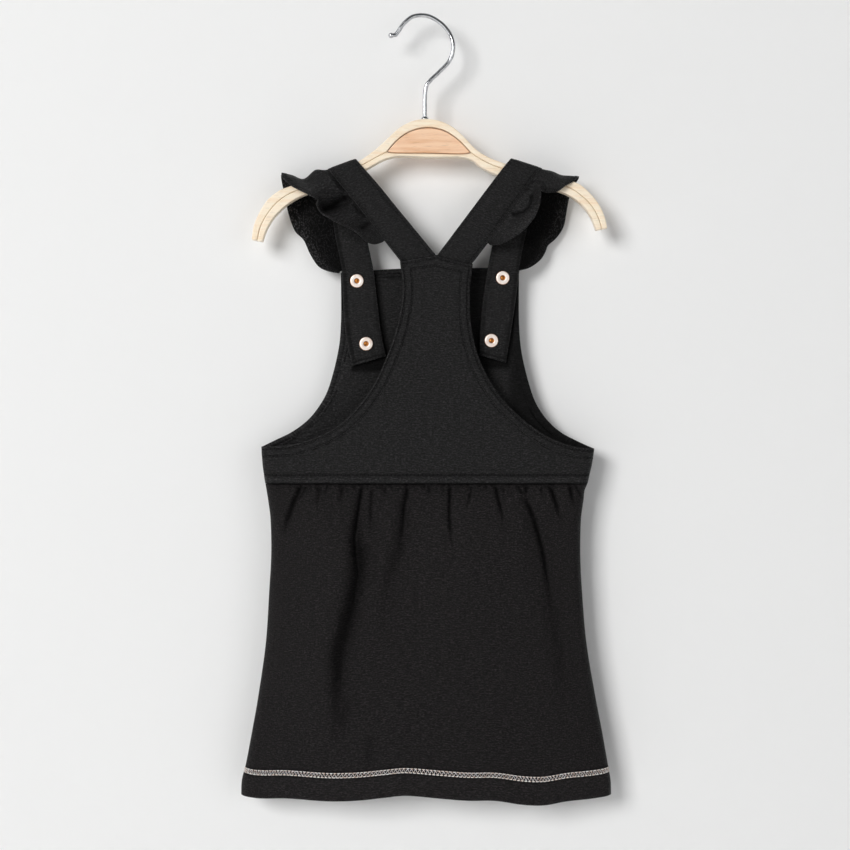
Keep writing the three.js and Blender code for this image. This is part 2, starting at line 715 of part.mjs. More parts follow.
// A flounce leaves the strap's outer edge in line with the strap and falls to its free edge
function makeRuffle(strap, freeEdge, dip) {
  const last = freeEdge.length - 1;
  const edges = strapEdges(strap);
  const free = new THREE.CatmullRomCurve3(
    freeEdge.map((row) => new THREE.Vector3(row.x, row.y, row.z)),
    false,
    "centripetal",
  );
  const strapPlace = (v) => {
    const table = freeEdge.map((row, i) => ({ at: i / last, row: row.row }));
    return lookUp(table, "at", "row", v) / (strap.length - 1);
  };
  const skinAt = (u, v) => {
    const t = strapPlace(v);
    const outer = edges.outer.getPoint(t);
    const across = outer.clone().sub(edges.inner.getPoint(t)).normalize();
    const root = outer.addScaledVector(across, seamGap).addScaledVector(strapOutward(strap, t), ruffleCloth / 2);
    const end = free.getPoint(v);
    const reach = root.distanceTo(end);
    const control = root.clone().addScaledVector(across, 0.5 * reach);
    const w = u * 0.999;
    const place = new THREE.Vector3()
      .addScaledVector(root, (1 - w) * (1 - w))
      .addScaledVector(control, 2 * w * (1 - w))
      .addScaledVector(end, w * w);
    const row = t * (strap.length - 1);
    const over = THREE.MathUtils.smoothstep(row, 3.8, 4.8) * THREE.MathUtils.smoothstep(9.6 - row, 0, 1.4);
    place.z -= dip * over * (bell(u - 0.6, 0.19) - 0.75 * bell(u - 0.27, 0.16));
    return place;
  };
  const outward = (u, v) => strapOutward(strap, strapPlace(v));
  return clothWall({ columns: 8, rows: 46, skinAt, outward, thickness: ruffleCloth, level: false });
}

// A ring snap seen from its socket side: a raised rim round a sunk centre
function makeRing() {
  const profile = [
    [0, 0],
    [ringRadius, 0],
    [ringRadius, 0.35 * ringHeight],
    [0.9 * ringRadius, 0.85 * ringHeight],
    [0.68 * ringRadius, ringHeight],
    [0.44 * ringRadius, 0.7 * ringHeight],
    [0.36 * ringRadius, 0.25 * ringHeight],
    [0, 0.25 * ringHeight],
  ];
  return new THREE.LatheGeometry(profile.map(([r, h]) => new THREE.Vector2(r, h)), 12);
}

function makeCap() {
  const profile = [
    [0, 0],
    [capRadius, 0],
    [capRadius, 0.3 * capHeight],
    [0.82 * capRadius, 0.75 * capHeight],
    [0.45 * capRadius, capHeight],
    [0, capHeight],
  ];
  return new THREE.LatheGeometry(profile.map(([r, h]) => new THREE.Vector2(r, h)), 12);
}

function shapeThrough(points) {
  const shape = new THREE.Shape();
  shape.moveTo(points[0].x, points[0].z);
  for (const point of points.slice(1)) {
    shape.lineTo(point.x, point.z);
  }
  return shape;
}

function smoothPoints(points, divisions) {
  const curve = new THREE.CatmullRomCurve3(points.map((p) => new THREE.Vector3(p.x, 0, p.z)), false, "centripetal");
  return curve.getPoints(divisions);
}

// Plates stand in the XZ plane, centred on the wire
function plate(shape, depth, bevel) {
  const geometry = new THREE.ExtrudeGeometry(shape, {
    depth: depth - 2 * bevel,
    steps: 1,
    curveSegments: 1,
    bevelEnabled: true,
    bevelThickness: bevel,
    bevelSize: bevel,
    bevelOffset: -bevel,
    bevelSegments: 1,
  });
  geometry.translate(0, 0, -(depth - 2 * bevel) / 2);
  geometry.rotateX(Math.PI / 2);
  return geometry;
}

function makeHangerFrame() {
  const top = smoothPoints(hangerTop, 46);
  const under = smoothPoints(hangerUnder, 36);
  const shape = shapeThrough([...top, ...under]);
  const hole = new THREE.Path();
  const rim = [...panelOutline].reverse();
  hole.moveTo(rim[0].x, rim[0].z);
  for (const point of rim.slice(1)) {
    hole.lineTo(point.x, point.z);
  }
  shape.holes.push(hole);
  return plate(shape, woodDepth, woodBevel);
}

function makeHangerPanel() {
  const middle = { x: 6, z: -99 };
  const inset = panelOutline.map((p) => ({
    x: p.x + Math.sign(middle.x - p.x) * Math.min(2.2, Math.abs(middle.x - p.x) * 0.06),
    z: p.z + (middle.z - p.z) * 0.1,
  }));
  return plate(shapeThrough(inset), woodDepth - 2 * panelRecess, 0.4);
}

function hookPath() {
  const points = hookLine.map((p) => new THREE.Vector3(p.x, 0, p.z));
  points.push(new THREE.Vector3(neckX, 0, neckZ + collarHeight + seamGap));
  return new THREE.CatmullRomCurve3(points, false, "centripetal");
}

// Radius of the wire, which swells to a small ball at its tip
function wireAt(fromTip) {
  const tipRadius = 0.2;
  const past = Math.min(Math.abs(fromTip - ballRadius), ballRadius);
  const ball = Math.sqrt(ballRadius ** 2 - past ** 2);
  return fromTip < ballRadius ? Math.max(ball, tipRadius) : Math.max(ball, wireRadius);
}

function makeHook() {
  const path = hookPath();
  const steps = 44;
  const ballSteps = 6;
  const sides = 8;
  const length = path.getLength();
  const ballShare = (2 * ballRadius) / length;
  const positions = [];
  const index = [];
  for (let i = 0; i <= steps; i += 1) {
    const onBall = (i / ballSteps) * ballShare;
    const onWire = ballShare + ((i - ballSteps) / (steps - ballSteps)) * (1 - ballShare);
    const share = i < ballSteps ? onBall : Math.min(onWire, 1);
    const at = path.getPointAt(share);
    const along = path.getTangentAt(share);
    const side = new THREE.Vector3(along.z, 0, -along.x);
    const radius = wireAt(share * length);
    for (let k = 0; k < sides; k += 1) {
      const angle = (2 * Math.PI * k) / sides;
      const place = at.clone().addScaledVector(side, radius * Math.cos(angle));
      positions.push(place.x, place.y + radius * Math.sin(angle), place.z);
    }
  }
  for (let i = 0; i < steps; i += 1) {
    for (let k = 0; k < sides; k += 1) {
      const a = i * sides + k;
      const b = i * sides + ((k + 1) % sides);
      index.push(a, b, b + sides, a, b + sides, a + sides);
    }
  }
  for (let k = 1; k < sides - 1; k += 1) {
    const end = steps * sides;
    index.push(0, k + 1, k, end, end + k, end + k + 1);
  }
  return orient(positions, index);
}

function makeCollar() {
  const geometry = new THREE.CylinderGeometry(collarRadius * 0.85, collarRadius, collarHeight - seamGap, 16);
  geometry.rotateX(Math.PI / 2);
  return geometry;
}

const dress = new THREE.Group();

function add(name, geometry, finish, place = [0, 0, 0], turn = 0) {
  const mesh = new THREE.Mesh(geometry, new THREE.MeshStandardMaterial(finish));
  mesh.name = name;
  mesh.position.set(...place);
  mesh.rotation.x = turn;
  dress.add(mesh);
}

const backSkirt = { facing: -1, fullness: 1, gathers: backGathers, folds: backFolds, columns: 50, rows: 15 };
const frontSkirt = { facing: 1, fullness: 0.85, gathers: frontGathers, folds: frontFolds, columns: 36, rows: 11 };
add("skirt_back", makeSkirt(backSkirt), black);
add("skirt_front", makeSkirt(frontSkirt), black);
add("bodice_back", makeBodicePanel(backPanel, 16, 20), black);
add("bodice_front", makeBodicePanel(bibPanel, 14, 18), black);
add("strap_left", makeStrap(leftStrap), black);
add("strap_right", makeStrap(rightStrap), black);
add("ruffle_left", makeRuffle(leftStrap, leftRuffle, leftDip), black);
add("ruffle_right", makeRuffle(rightStrap, rightRuffle, rightDip), black);
for (const snap of snaps) {
  add(snap.name, makeRing(), roseGold, [snap.x, snap.y - seamGap, snap.z], Math.PI);
}
for (const cap of caps) {
  add(cap.name, makeCap(), roseGold, [cap.x, bodiceDepth + seamGap, cap.z]);
}
add("hanger_frame", makeHangerFrame(), wood);
add("hanger_panel", makeHangerPanel(), panelWood);
add("hanger_hook", makeHook(), chrome);
add("hanger_collar", makeCollar(), chrome, [neckX, 0, neckZ + collarHeight / 2 + seamGap / 2]);

export default dress;
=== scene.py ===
# Toddler's pinafore dress in black slub jersey, hung by its back on a wooden hanger.
# Blender works in metres with +Z up. The tables are in millimetres, the same as the part's own.
# The back of the dress faces -Y, its front faces +Y, and the origin is the hook's inner crown.
import math
import random

import bmesh
import bpy
import numpy as np
from mathutils import Matrix, Vector


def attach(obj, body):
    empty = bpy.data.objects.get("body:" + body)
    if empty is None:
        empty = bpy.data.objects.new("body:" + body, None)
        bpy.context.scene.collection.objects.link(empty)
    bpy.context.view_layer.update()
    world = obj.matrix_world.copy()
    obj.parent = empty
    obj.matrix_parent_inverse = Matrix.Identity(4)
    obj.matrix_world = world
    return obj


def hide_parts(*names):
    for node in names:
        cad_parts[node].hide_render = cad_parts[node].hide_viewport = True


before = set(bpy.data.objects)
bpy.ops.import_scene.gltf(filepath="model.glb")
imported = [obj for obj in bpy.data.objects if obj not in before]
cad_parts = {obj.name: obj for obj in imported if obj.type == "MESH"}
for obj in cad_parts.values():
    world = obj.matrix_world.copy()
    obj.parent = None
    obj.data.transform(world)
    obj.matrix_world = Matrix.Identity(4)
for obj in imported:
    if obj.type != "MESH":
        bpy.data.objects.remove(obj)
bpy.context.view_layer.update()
mm = 0.001

# Camera, lamps and room

camera = {"place": (0.0031, -1.4, -0.3205), "lens": 75.4, "sensor": 36.0}
room = {"wallY": 0.0235, "floorZ": -0.95, "reach": 4.0, "colour": "#f2f2f2", "lampsAim": (0.0, 0.0, -0.32)}
lamps = [
    {"name": "windowLight", "place": (-2.5, -4.1, 1.1), "size": 2.0, "power": 165.0, "colour": "#fefefd"},
    {"name": "rightFill", "place": (2.6, -3.4, -0.2), "size": 2.4, "power": 24.0, "colour": "#ffffff"},
    {"name": "behindFill", "place": (0.9, 2.4, 0.9), "size": 1.8, "power": 24.0, "colour": "#ffffff"},
]
sky = {"colour": "#f4f5f7", "strength": 0.11}


def toLinear(hexColour):
    parts = [int(hexColour[i:i + 2], 16) / 255 for i in (1, 3, 5)]
    return tuple(c / 12.92 if c <= 0.04045 else ((c + 0.055) / 1.055) ** 2.4 for c in parts) + (1.0,)


def feed(tree, node, inputs):
    for key, value in inputs.items():
        if isinstance(value, bpy.types.NodeSocket):
            tree.links.new(value, node.inputs[key])
        else:
            node.inputs[key].default_value = value


def addNode(tree, kind, inputs=None, **settings):
    node = tree.nodes.new(kind)
    for key, value in settings.items():
        setattr(node, key, value)
    feed(tree, node, inputs or {})
    return node


def newMaterial(name):
    material = bpy.data.materials.new(name)
    material.use_nodes = True
    tree = material.node_tree
    tree.nodes.clear()
    surface = addNode(tree, "ShaderNodeBsdfPrincipled")
    addNode(tree, "ShaderNodeOutputMaterial", {"Surface": surface.outputs[0]})
    return material, tree, surface


def clothRun(tree):
    return addNode(tree, "ShaderNodeUVMap", uv_map="clothRun").outputs[0]


def objectPlace(tree):
    return addNode(tree, "ShaderNodeTexCoord").outputs["Object"]


def stretch(tree, place, scale):
    return addNode(tree, "ShaderNodeMapping", {"Vector": place, "Scale": scale}).outputs[0]


def noise(tree, place, scale, detail, roughness=0.5):
    inputs = {"Vector": place, "Scale": scale, "Detail": detail, "Roughness": roughness}
    return addNode(tree, "ShaderNodeTexNoise", inputs).outputs[0]


def ramp(tree, value, stops):
    # Stops are pairs of a place and a hex colour or a grey
    node = addNode(tree, "ShaderNodeValToRGB", {"Fac": value})
    elements = node.color_ramp.elements
    while len(elements) < len(stops):
        elements.new(0.5)
    for element, (place, colour) in zip(elements, stops):
        element.position = place
        element.color = toLinear(colour) if isinstance(colour, str) else (colour, colour, colour, 1.0)
    return node.outputs[0]


def multiply(tree, first, second):
    inputs = {0: 1.0, 6: first, 7: second}
    return addNode(tree, "ShaderNodeMix", inputs, data_type="RGBA", blend_type="MULTIPLY").outputs[2]


def bumpFrom(tree, height, strength, distance, **settings):
    inputs = {"Height": height, "Strength": strength, "Distance": distance}
    return addNode(tree, "ShaderNodeBump", inputs, **settings).outputs[0]


def link(piece):
    bpy.context.scene.collection.objects.link(piece)
    return piece


# Materials

jerseyLook = {
    "slubLong": 5.0, "slubThick": 0.9,  # mm, a thick place in the yarn
    "loopPitch": 1.7,  # mm, real knit is 0.9 but that is too fine to show
    "roughness": 0.6, "bump": 1.0,
}
bodiceTone = {"face": "#252425", "slub": "#313031", "dark": "#191919", "gloss": 0.2}
# The skirt's copy of the same jersey is darker: painted shade, because the skirt takes less light than the
# bodice
skirtPaintedShadeTone = {"face": "#232021", "slub": "#2f2b2c", "dark": "#181616", "gloss": 0.15}
terryLook = {"loop": "#2d2c2d", "gap": "#060606", "loopSize": 0.95, "roughness": 0.9, "bump": 1.0}


def shadeOf(tree, layer="paintedClothShade"):
    # Painted shade and painted highlights of the cloth, kept in a layer: darker in stitched grooves, pinched
    # creases and seams, lighter along edges and ridges
    return addNode(tree, "ShaderNodeAttribute", attribute_name=layer).outputs["Fac"]


def makeJersey(name, tone, layer="paintedClothShade"):
    # Slub jersey, cotton, knitted and piece dyed: matt black with faint lighter dashes along the courses
    material, tree, surface = newMaterial(name)
    look = {**jerseyLook, **tone}
    run = clothRun(tree)
    slubScale = (1000 / look["slubLong"], 1000 / look["slubThick"], 1.0)
    slub = noise(tree, stretch(tree, run, slubScale), 1.0, 3.0, 0.55)
    slubTone = ramp(tree, slub, [(0.4, look["dark"]), (0.5, look["face"]), (0.6, look["slub"])])
    loopScale = (1000 / look["loopPitch"], 1000 / (0.55 * look["loopPitch"]), 1.0)
    loops = noise(tree, stretch(tree, run, loopScale), 1.0, 2.0, 0.6)
    loopTone = ramp(tree, loops, [(0.38, 0.12), (0.5, 0.42), (0.62, 1.0)])
    shade = shadeOf(tree, layer)
    dull = addNode(tree, "ShaderNodeMapRange", {"Value": shade, "To Min": 1.0, "To Max": look["roughness"]})
    height = addNode(tree, "ShaderNodeMath", {0: slub, 1: loops}, operation="ADD")
    # The colour is multiplied by the layer's painted shade and painted highlights
    feed(tree, surface, {
        "Base Color": multiply(tree, multiply(tree, slubTone, loopTone), shade),
        "Roughness": dull.outputs[0],
        "Normal": bumpFrom(tree, height.outputs[0], look["bump"], 0.0008),
        "Specular IOR Level": look["gloss"],
    })
    return material


def makeTerry(look):
    # Wrong side of sweatshirt jersey: unbrushed loops, darker and rougher than the face
    material, tree, surface = newMaterial("loopbackTerry")
    scale = 1000 / look["loopSize"]
    grid = stretch(tree, clothRun(tree), (scale, scale, 1.0))
    loops = addNode(tree, "ShaderNodeTexVoronoi", {"Vector": grid, "Scale": 1.0}).outputs["Distance"]
    tone = ramp(tree, loops, [(0.15, look["loop"]), (0.5, look["gap"])])
    # Its colour is multiplied by the cloth's painted shade and painted highlights
    feed(tree, surface, {
        "Base Color": multiply(tree, tone, shadeOf(tree)),
        "Roughness": look["roughness"],
        "Normal": bumpFrom(tree, loops, look["bump"], 0.0008, invert=True),
        "Specular IOR Level": 0.1,
    })
    return material


def makeThread(name, stops, roughness):
    # Spun polyester or metallised thread: a fine twist breaks up its light
    material, tree, surface = newMaterial(name)
    twist = noise(tree, objectPlace(tree), 900.0, 2.0)
    feed(tree, surface, {
        "Base Color": ramp(tree, twist, stops),
        "Roughness": roughness,
        "Normal": bumpFrom(tree, twist, 0.3, 0.0003),
        "Specular IOR Level": 0.3,
    })
    return material


def makeWood(name, light, dark):
    # Beech ply under clear satin lacquer: pale, with fine straight grain and short darker flecks
    material, tree, surface = newMaterial(name)
    place = objectPlace(tree)
    grain = noise(tree, stretch(tree, place, (26.0, 300.0, 330.0)), 1.0, 5.0, 0.6)
    flecks = noise(tree, stretch(tree, place, (130.0, 900.0, 1100.0)), 1.0, 1.0)
    tone = ramp(tree, grain, [(0.32, dark), (0.56, light)])
    feed(tree, surface, {
        "Base Color": multiply(tree, tone, ramp(tree, flecks, [(0.3, 0.86), (0.4, 1.0)])),
        "Roughness": 0.42,
        "Normal": bumpFrom(tree, grain, 0.08, 0.0004),
        "Coat Weight": 0.25,
        "Coat Roughness": 0.25,
    })
    return material


def makeMetal(name, bright, worn, roughness, metal=1.0):
    # Plated and polished metal with faint handling marks
    material, tree, surface = newMaterial(name)
    marks = noise(tree, objectPlace(tree), 420.0, 3.0)
    rough = addNode(tree, "ShaderNodeMapRange", {
        "Value": marks, "To Min": roughness * 0.7, "To Max": roughness * 1.4,
    })
    feed(tree, surface, {
        "Base Color": ramp(tree, marks, [(0.35, worn), (0.6, bright)]),
        "Roughness": rough.outputs[0],
        "Metallic": metal,
    })
    return material


def makeWallPaint(name, lampsPass):
    # Matt white paint, clear from its back. The wall also lets the lamps through, because one of them stands
    # behind it and lights the front of the dress
    material, tree, surface = newMaterial(name)
    feed(tree, surface, {
        "Base Color": toLinear(room["colour"]),
        "Roughness": 0.9,
        "Normal": bumpFrom(tree, noise(tree, objectPlace(tree), 220.0, 2.0), 0.05, 0.001),
        "Specular IOR Level": 0.1,
    })
    side = addNode(tree, "ShaderNodeNewGeometry").outputs["Backfacing"]
    ray = addNode(tree, "ShaderNodeLightPath").outputs["Is Shadow Ray"]
    passing = addNode(tree, "ShaderNodeMath", {0: ray, 1: lampsPass}, operation="MULTIPLY")
    through = addNode(tree, "ShaderNodeMath", {0: side, 1: passing.outputs[0]}, operation="MAXIMUM")
    clear = addNode(tree, "ShaderNodeBsdfTransparent")
    output = surface.outputs[0].links[0].to_node
    both = addNode(tree, "ShaderNodeMixShader", {
        0: through.outputs[0], 1: surface.outputs[0], 2: clear.outputs[0],
    })
    feed(tree, output, {"Surface": both.outputs[0]})
    return material


jersey = makeJersey("slubJersey", bodiceTone)
skirtJerseyPaintedShade = makeJersey("skirtSlubJerseyPaintedShade", skirtPaintedShadeTone)
# The inside of the bib: the same jersey, with painted shadows, painted shade and a painted highlight from its
# innerShade layer
bibInnerPaintedShade = makeJersey("bibInnerSlubJerseyPaintedShade", bodiceTone, "innerShade")
terry = makeTerry(terryLook)
blackThread = makeThread("blackPolyesterThread", [(0.35, "#141314"), (0.65, "#2a292a")], 0.6)
goldThread = makeThread("paleGoldMetallicThread", [(0.38, "#dcc0ae"), (0.56, "#ffffff")], 0.5)
beech = makeWood("beechLacquered", "#fff0d8", "#f9e0c0")
beechPanel = makeWood("beechPanelLacquered", "#fad2b0", "#eab78e")
chrome = makeMetal("brightChrome", "#dcdde0", "#bfc1c4", 0.14)
# The rose-gold tint is the plating's own. Its near-white, mostly unmetallic base colour is a painted
# reflection
roseGold = makeMetal("roseGoldPlatedBrass", "#fff4ec", "#fae3d6", 0.32, 0.2)
bareBrass = makeMetal("bareBrass", "#b9783c", "#8a5526", 0.4)
print("materials made")


# Curves and tables

def hermite(start, rise, slopeIn, slopeOut, s):
    return start + rise * (3 * s**2 - 2 * s**3) + slopeIn * (s**3 - 2 * s**2 + s) + slopeOut * (s**3 - s**2)


def smoothTable(places, values, at):
    # Soft curve through a table of values, with the slope at each row taken over its two neighbours
    p = np.asarray(places, float)
    w = np.asarray(values, float)
    if p[-1] < p[0]:
        p, w = p[::-1], w[::-1]
    at = np.asarray(at, float)
    last = len(p) - 1
    i = np.clip(np.searchsorted(p, at, side="left") - 1, 0, last - 1)
    before, after = np.maximum(i - 1, 0), np.minimum(i + 2, last)
    span = p[i + 1] - p[i]
    s = np.clip((at - p[i]) / span, 0, 1)
    slopeIn = (w[i + 1] - w[before]) / (p[i + 1] - p[before]) * span
    slopeOut = (w[after] - w[i]) / (p[after] - p[i]) * span
    return hermite(w[i], w[i + 1] - w[i], slopeIn, slopeOut, s)


def smoothStep(value, low, high):
    s = np.clip((np.asarray(value, float) - low) / (high - low), 0, 1)
    return s * s * (3 - 2 * s)


def softCurve(points, t):
    # Centripetal curve through points, t running evenly over the points
    p = np.asarray(points, float)
    p = np.vstack([2 * p[0] - p[1], p, 2 * p[-1] - p[-2]])
    place = np.clip(np.asarray(t, float), 0, 1) * (len(p) - 3)
    i = np.minimum(place.astype(int), len(p) - 4)
    s = (place - i)[:, None]
    a, b, c, d = p[i], p[i + 1], p[i + 2], p[i + 3]
    first, middle, third = (
        np.maximum(np.sum((after - before) ** 2, axis=1) ** 0.25, 1e-6)[:, None]
        for before, after in ((a, b), (b, c), (c, d))
    )
    slopeIn = ((b - a) / first - (c - a) / (first + middle) + (c - b) / middle) * middle
    slopeOut = ((c - b) / middle - (d - b) / (middle + third) + (d - c) / third) * middle
    return hermite(b, c - b, slopeIn, slopeOut, s)


def lengthsAlong(line):
    return np.concatenate([[0], np.cumsum(np.linalg.norm(np.diff(line, axis=0), axis=1))])


def evenCurve(points, share):
    # The same curve, share running evenly along its length
    samples = softCurve(points, np.linspace(0, 1, 1201))
    length = lengthsAlong(samples)
    at = np.asarray(share, float) * length[-1]
    return np.stack([np.interp(at, length, samples[:, k]) for k in range(samples.shape[1])], axis=1)


def distanceTo(x, z, line):
    # Distance from each place to a line of close points
    best = np.full(x.shape, 1e9)
    for a, b in zip(line[:-1], line[1:]):
        run = b - a
        s = np.clip(((x - a[0]) * run[0] + (z - a[1]) * run[1]) / (run @ run + 1e-12), 0, 1)
        best = np.minimum(best, (x - a[0] - s * run[0]) ** 2 + (z - a[1] - s * run[1]) ** 2)
    return np.sqrt(best)


def bell(distance, width):
    return np.exp(-((distance / width) ** 2))


def sideways(line):
    # Unit steps at right angles to a flat line, to its left
    run = np.gradient(line, axis=0)
    run /= np.linalg.norm(run, axis=1)[:, None]
    return np.stack([-run[:, 1], run[:, 0]], axis=1)


def facingWay(facing, count):
    return np.tile([0.0, facing, 0.0], (count, 1))


# Making pieces

def pieceFrom(shape, name):
    mesh = bpy.data.meshes.new(name)
    shape.to_mesh(mesh)
    shape.free()
    return link(bpy.data.objects.new(name, mesh))


def bands(rowBands):
    # Shares where the lines of a grid lie, from bands of evenly spaced ones
    spans = [np.linspace(start, end, count + 1)[1:] for start, end, count in rowBands]
    return np.concatenate([[0.0]] + spans)


def clothGrid(name, across, down, placeAt, runAt, outward, shadeAt, innerAt=None):
    # A sheet from a plain grid: across and down are the shares where its lines lie
    columns, rows = len(across) - 1, len(down) - 1
    sheet = bmesh.new()
    bmesh.ops.create_grid(sheet, x_segments=columns, y_segments=rows, size=0.5)
    tone = sheet.verts.layers.float.new("paintedClothShade")
    layer = sheet.loops.layers.uv.new("clothRun")
    corner = np.array([vertex.co[:2] for vertex in sheet.verts]) + 0.5
    u = np.asarray(across)[np.rint(corner[:, 0] * columns).astype(int)]
    v = np.asarray(down)[np.rint(corner[:, 1] * rows).astype(int)]
    places = placeAt(u, v) * mm
    run = runAt(u, v) * mm
    for vertex, place, shade in zip(sheet.verts, places, shadeAt(u, v)):
        vertex.co = place
        vertex[tone] = shade
    if innerAt is not None:
        inner = sheet.verts.layers.float.new("innerShade")
        for vertex, shade in zip(sheet.verts, innerAt(u, v)):
            vertex[inner] = shade
    sheet.verts.index_update()
    for face in sheet.faces:
        face.smooth = True
        for loop in face.loops:
            loop[layer].uv = run[loop.vert.index]
    sheet.normal_update()
    faced = sum(vertex.normal @ Vector(way) for vertex, way in zip(sheet.verts, outward(u, v)))
    if faced < 0:
        bmesh.ops.reverse_faces(sheet, faces=sheet.faces)
    return pieceFrom(sheet, name), u, v


def thicken(piece, thickness, weights=None, inside=None, subdivide=0):
    # The face stays where it is and the thickness goes inwards. The inside may have its own material
    if weights is not None:
        group = piece.vertex_groups.new(name="clothThickness")
        for index, weight in enumerate(weights):
            group.add([index], float(weight), "REPLACE")
    solid = piece.modifiers.new("clothThickness", "SOLIDIFY")
    solid.thickness = thickness * mm
    solid.offset = -1.0
    solid.use_even_offset = False
    solid.use_quality_normals = True
    if weights is not None:
        solid.vertex_group = "clothThickness"
        solid.thickness_vertex_group = 0.0
    if inside is not None:
        piece.data.materials.append(inside)
        solid.material_offset = 1
    if subdivide:
        smooth = piece.modifiers.new("clothSmooth", "SUBSURF")
        smooth.levels = smooth.render_levels = subdivide
        smooth.boundary_smooth = "PRESERVE_CORNERS"


def threadPiece(name, runs, radius, material, sides, swell=None):
    # Thread or wire from lines of points, each swept with a round section and closed at its ends
    curve = bpy.data.curves.new(name + "Curve", "CURVE")
    curve.dimensions = "3D"
    curve.bevel_depth = radius * mm
    curve.bevel_resolution = sides
    curve.use_fill_caps = True
    for run in runs:
        spline = curve.splines.new("POLY")
        spline.points.add(len(run) - 1)
        spline.points.foreach_set("co", np.column_stack([run * mm, np.ones(len(run))]).ravel())
        if swell is not None:
            spline.points.foreach_set("radius", swell)
    swept = link(bpy.data.objects.new(name + "Curve", curve))
    mesh = bpy.data.meshes.new_from_object(swept.evaluated_get(bpy.context.evaluated_depsgraph_get()))
    mesh.name = name
    bpy.data.objects.remove(swept)
    piece = link(bpy.data.objects.new(name, mesh))
    mesh.materials.clear()
    mesh.materials.append(material)
    for polygon in mesh.polygons:
        polygon.use_smooth = True
    return piece


def stitchRuns(line, pitch, length, sink=0.25):
    # Cuts a sewn line into single stitches that dip into the cloth at both ends
    along = lengthsAlong(line[:, :3])
    runs = []
    for start in np.arange(0.3, along[-1] - length, pitch):
        at = start + np.linspace(0, 1, 4) * length
        run = np.stack([np.interp(at, along, line[:, k]) for k in range(6)], axis=1)
        runs.append(run[:, :3] + run[:, 3:] * np.array([-sink, 0.08, 0.08, -sink])[:, None])
    return runs


# Sizes shared with the solids

seamGap = 0.3
waistZ = -366.5
hemLevel = -614.0
armShare = 0.74
sideRadius = 7.0
bodiceDepth = 9.0
bodiceCloth = 2.6
strapCloth = 2.6
ruffleCloth = 1.6


def sectionDepth(distance, half, depth):
    flat = half - sideRadius
    along = np.abs(distance)
    angle = np.maximum(along - flat, 0) / sideRadius
    x = np.where(along <= flat, along, flat + sideRadius * np.sin(angle))
    level = np.where(along <= flat, sideRadius, sideRadius * np.cos(angle))
    bulge = (depth - sideRadius) * (1 - np.minimum(x / half, 1) ** 2.4)
    return np.sign(distance) * x, level + bulge


def unrolled(x, half):
    flat = half - sideRadius
    past = np.abs(x) - flat
    level = np.where(past <= 0, past, sideRadius * np.arcsin(np.clip(past / sideRadius, 0, 1)))
    return np.sign(x) * (flat + level)


# Skirt

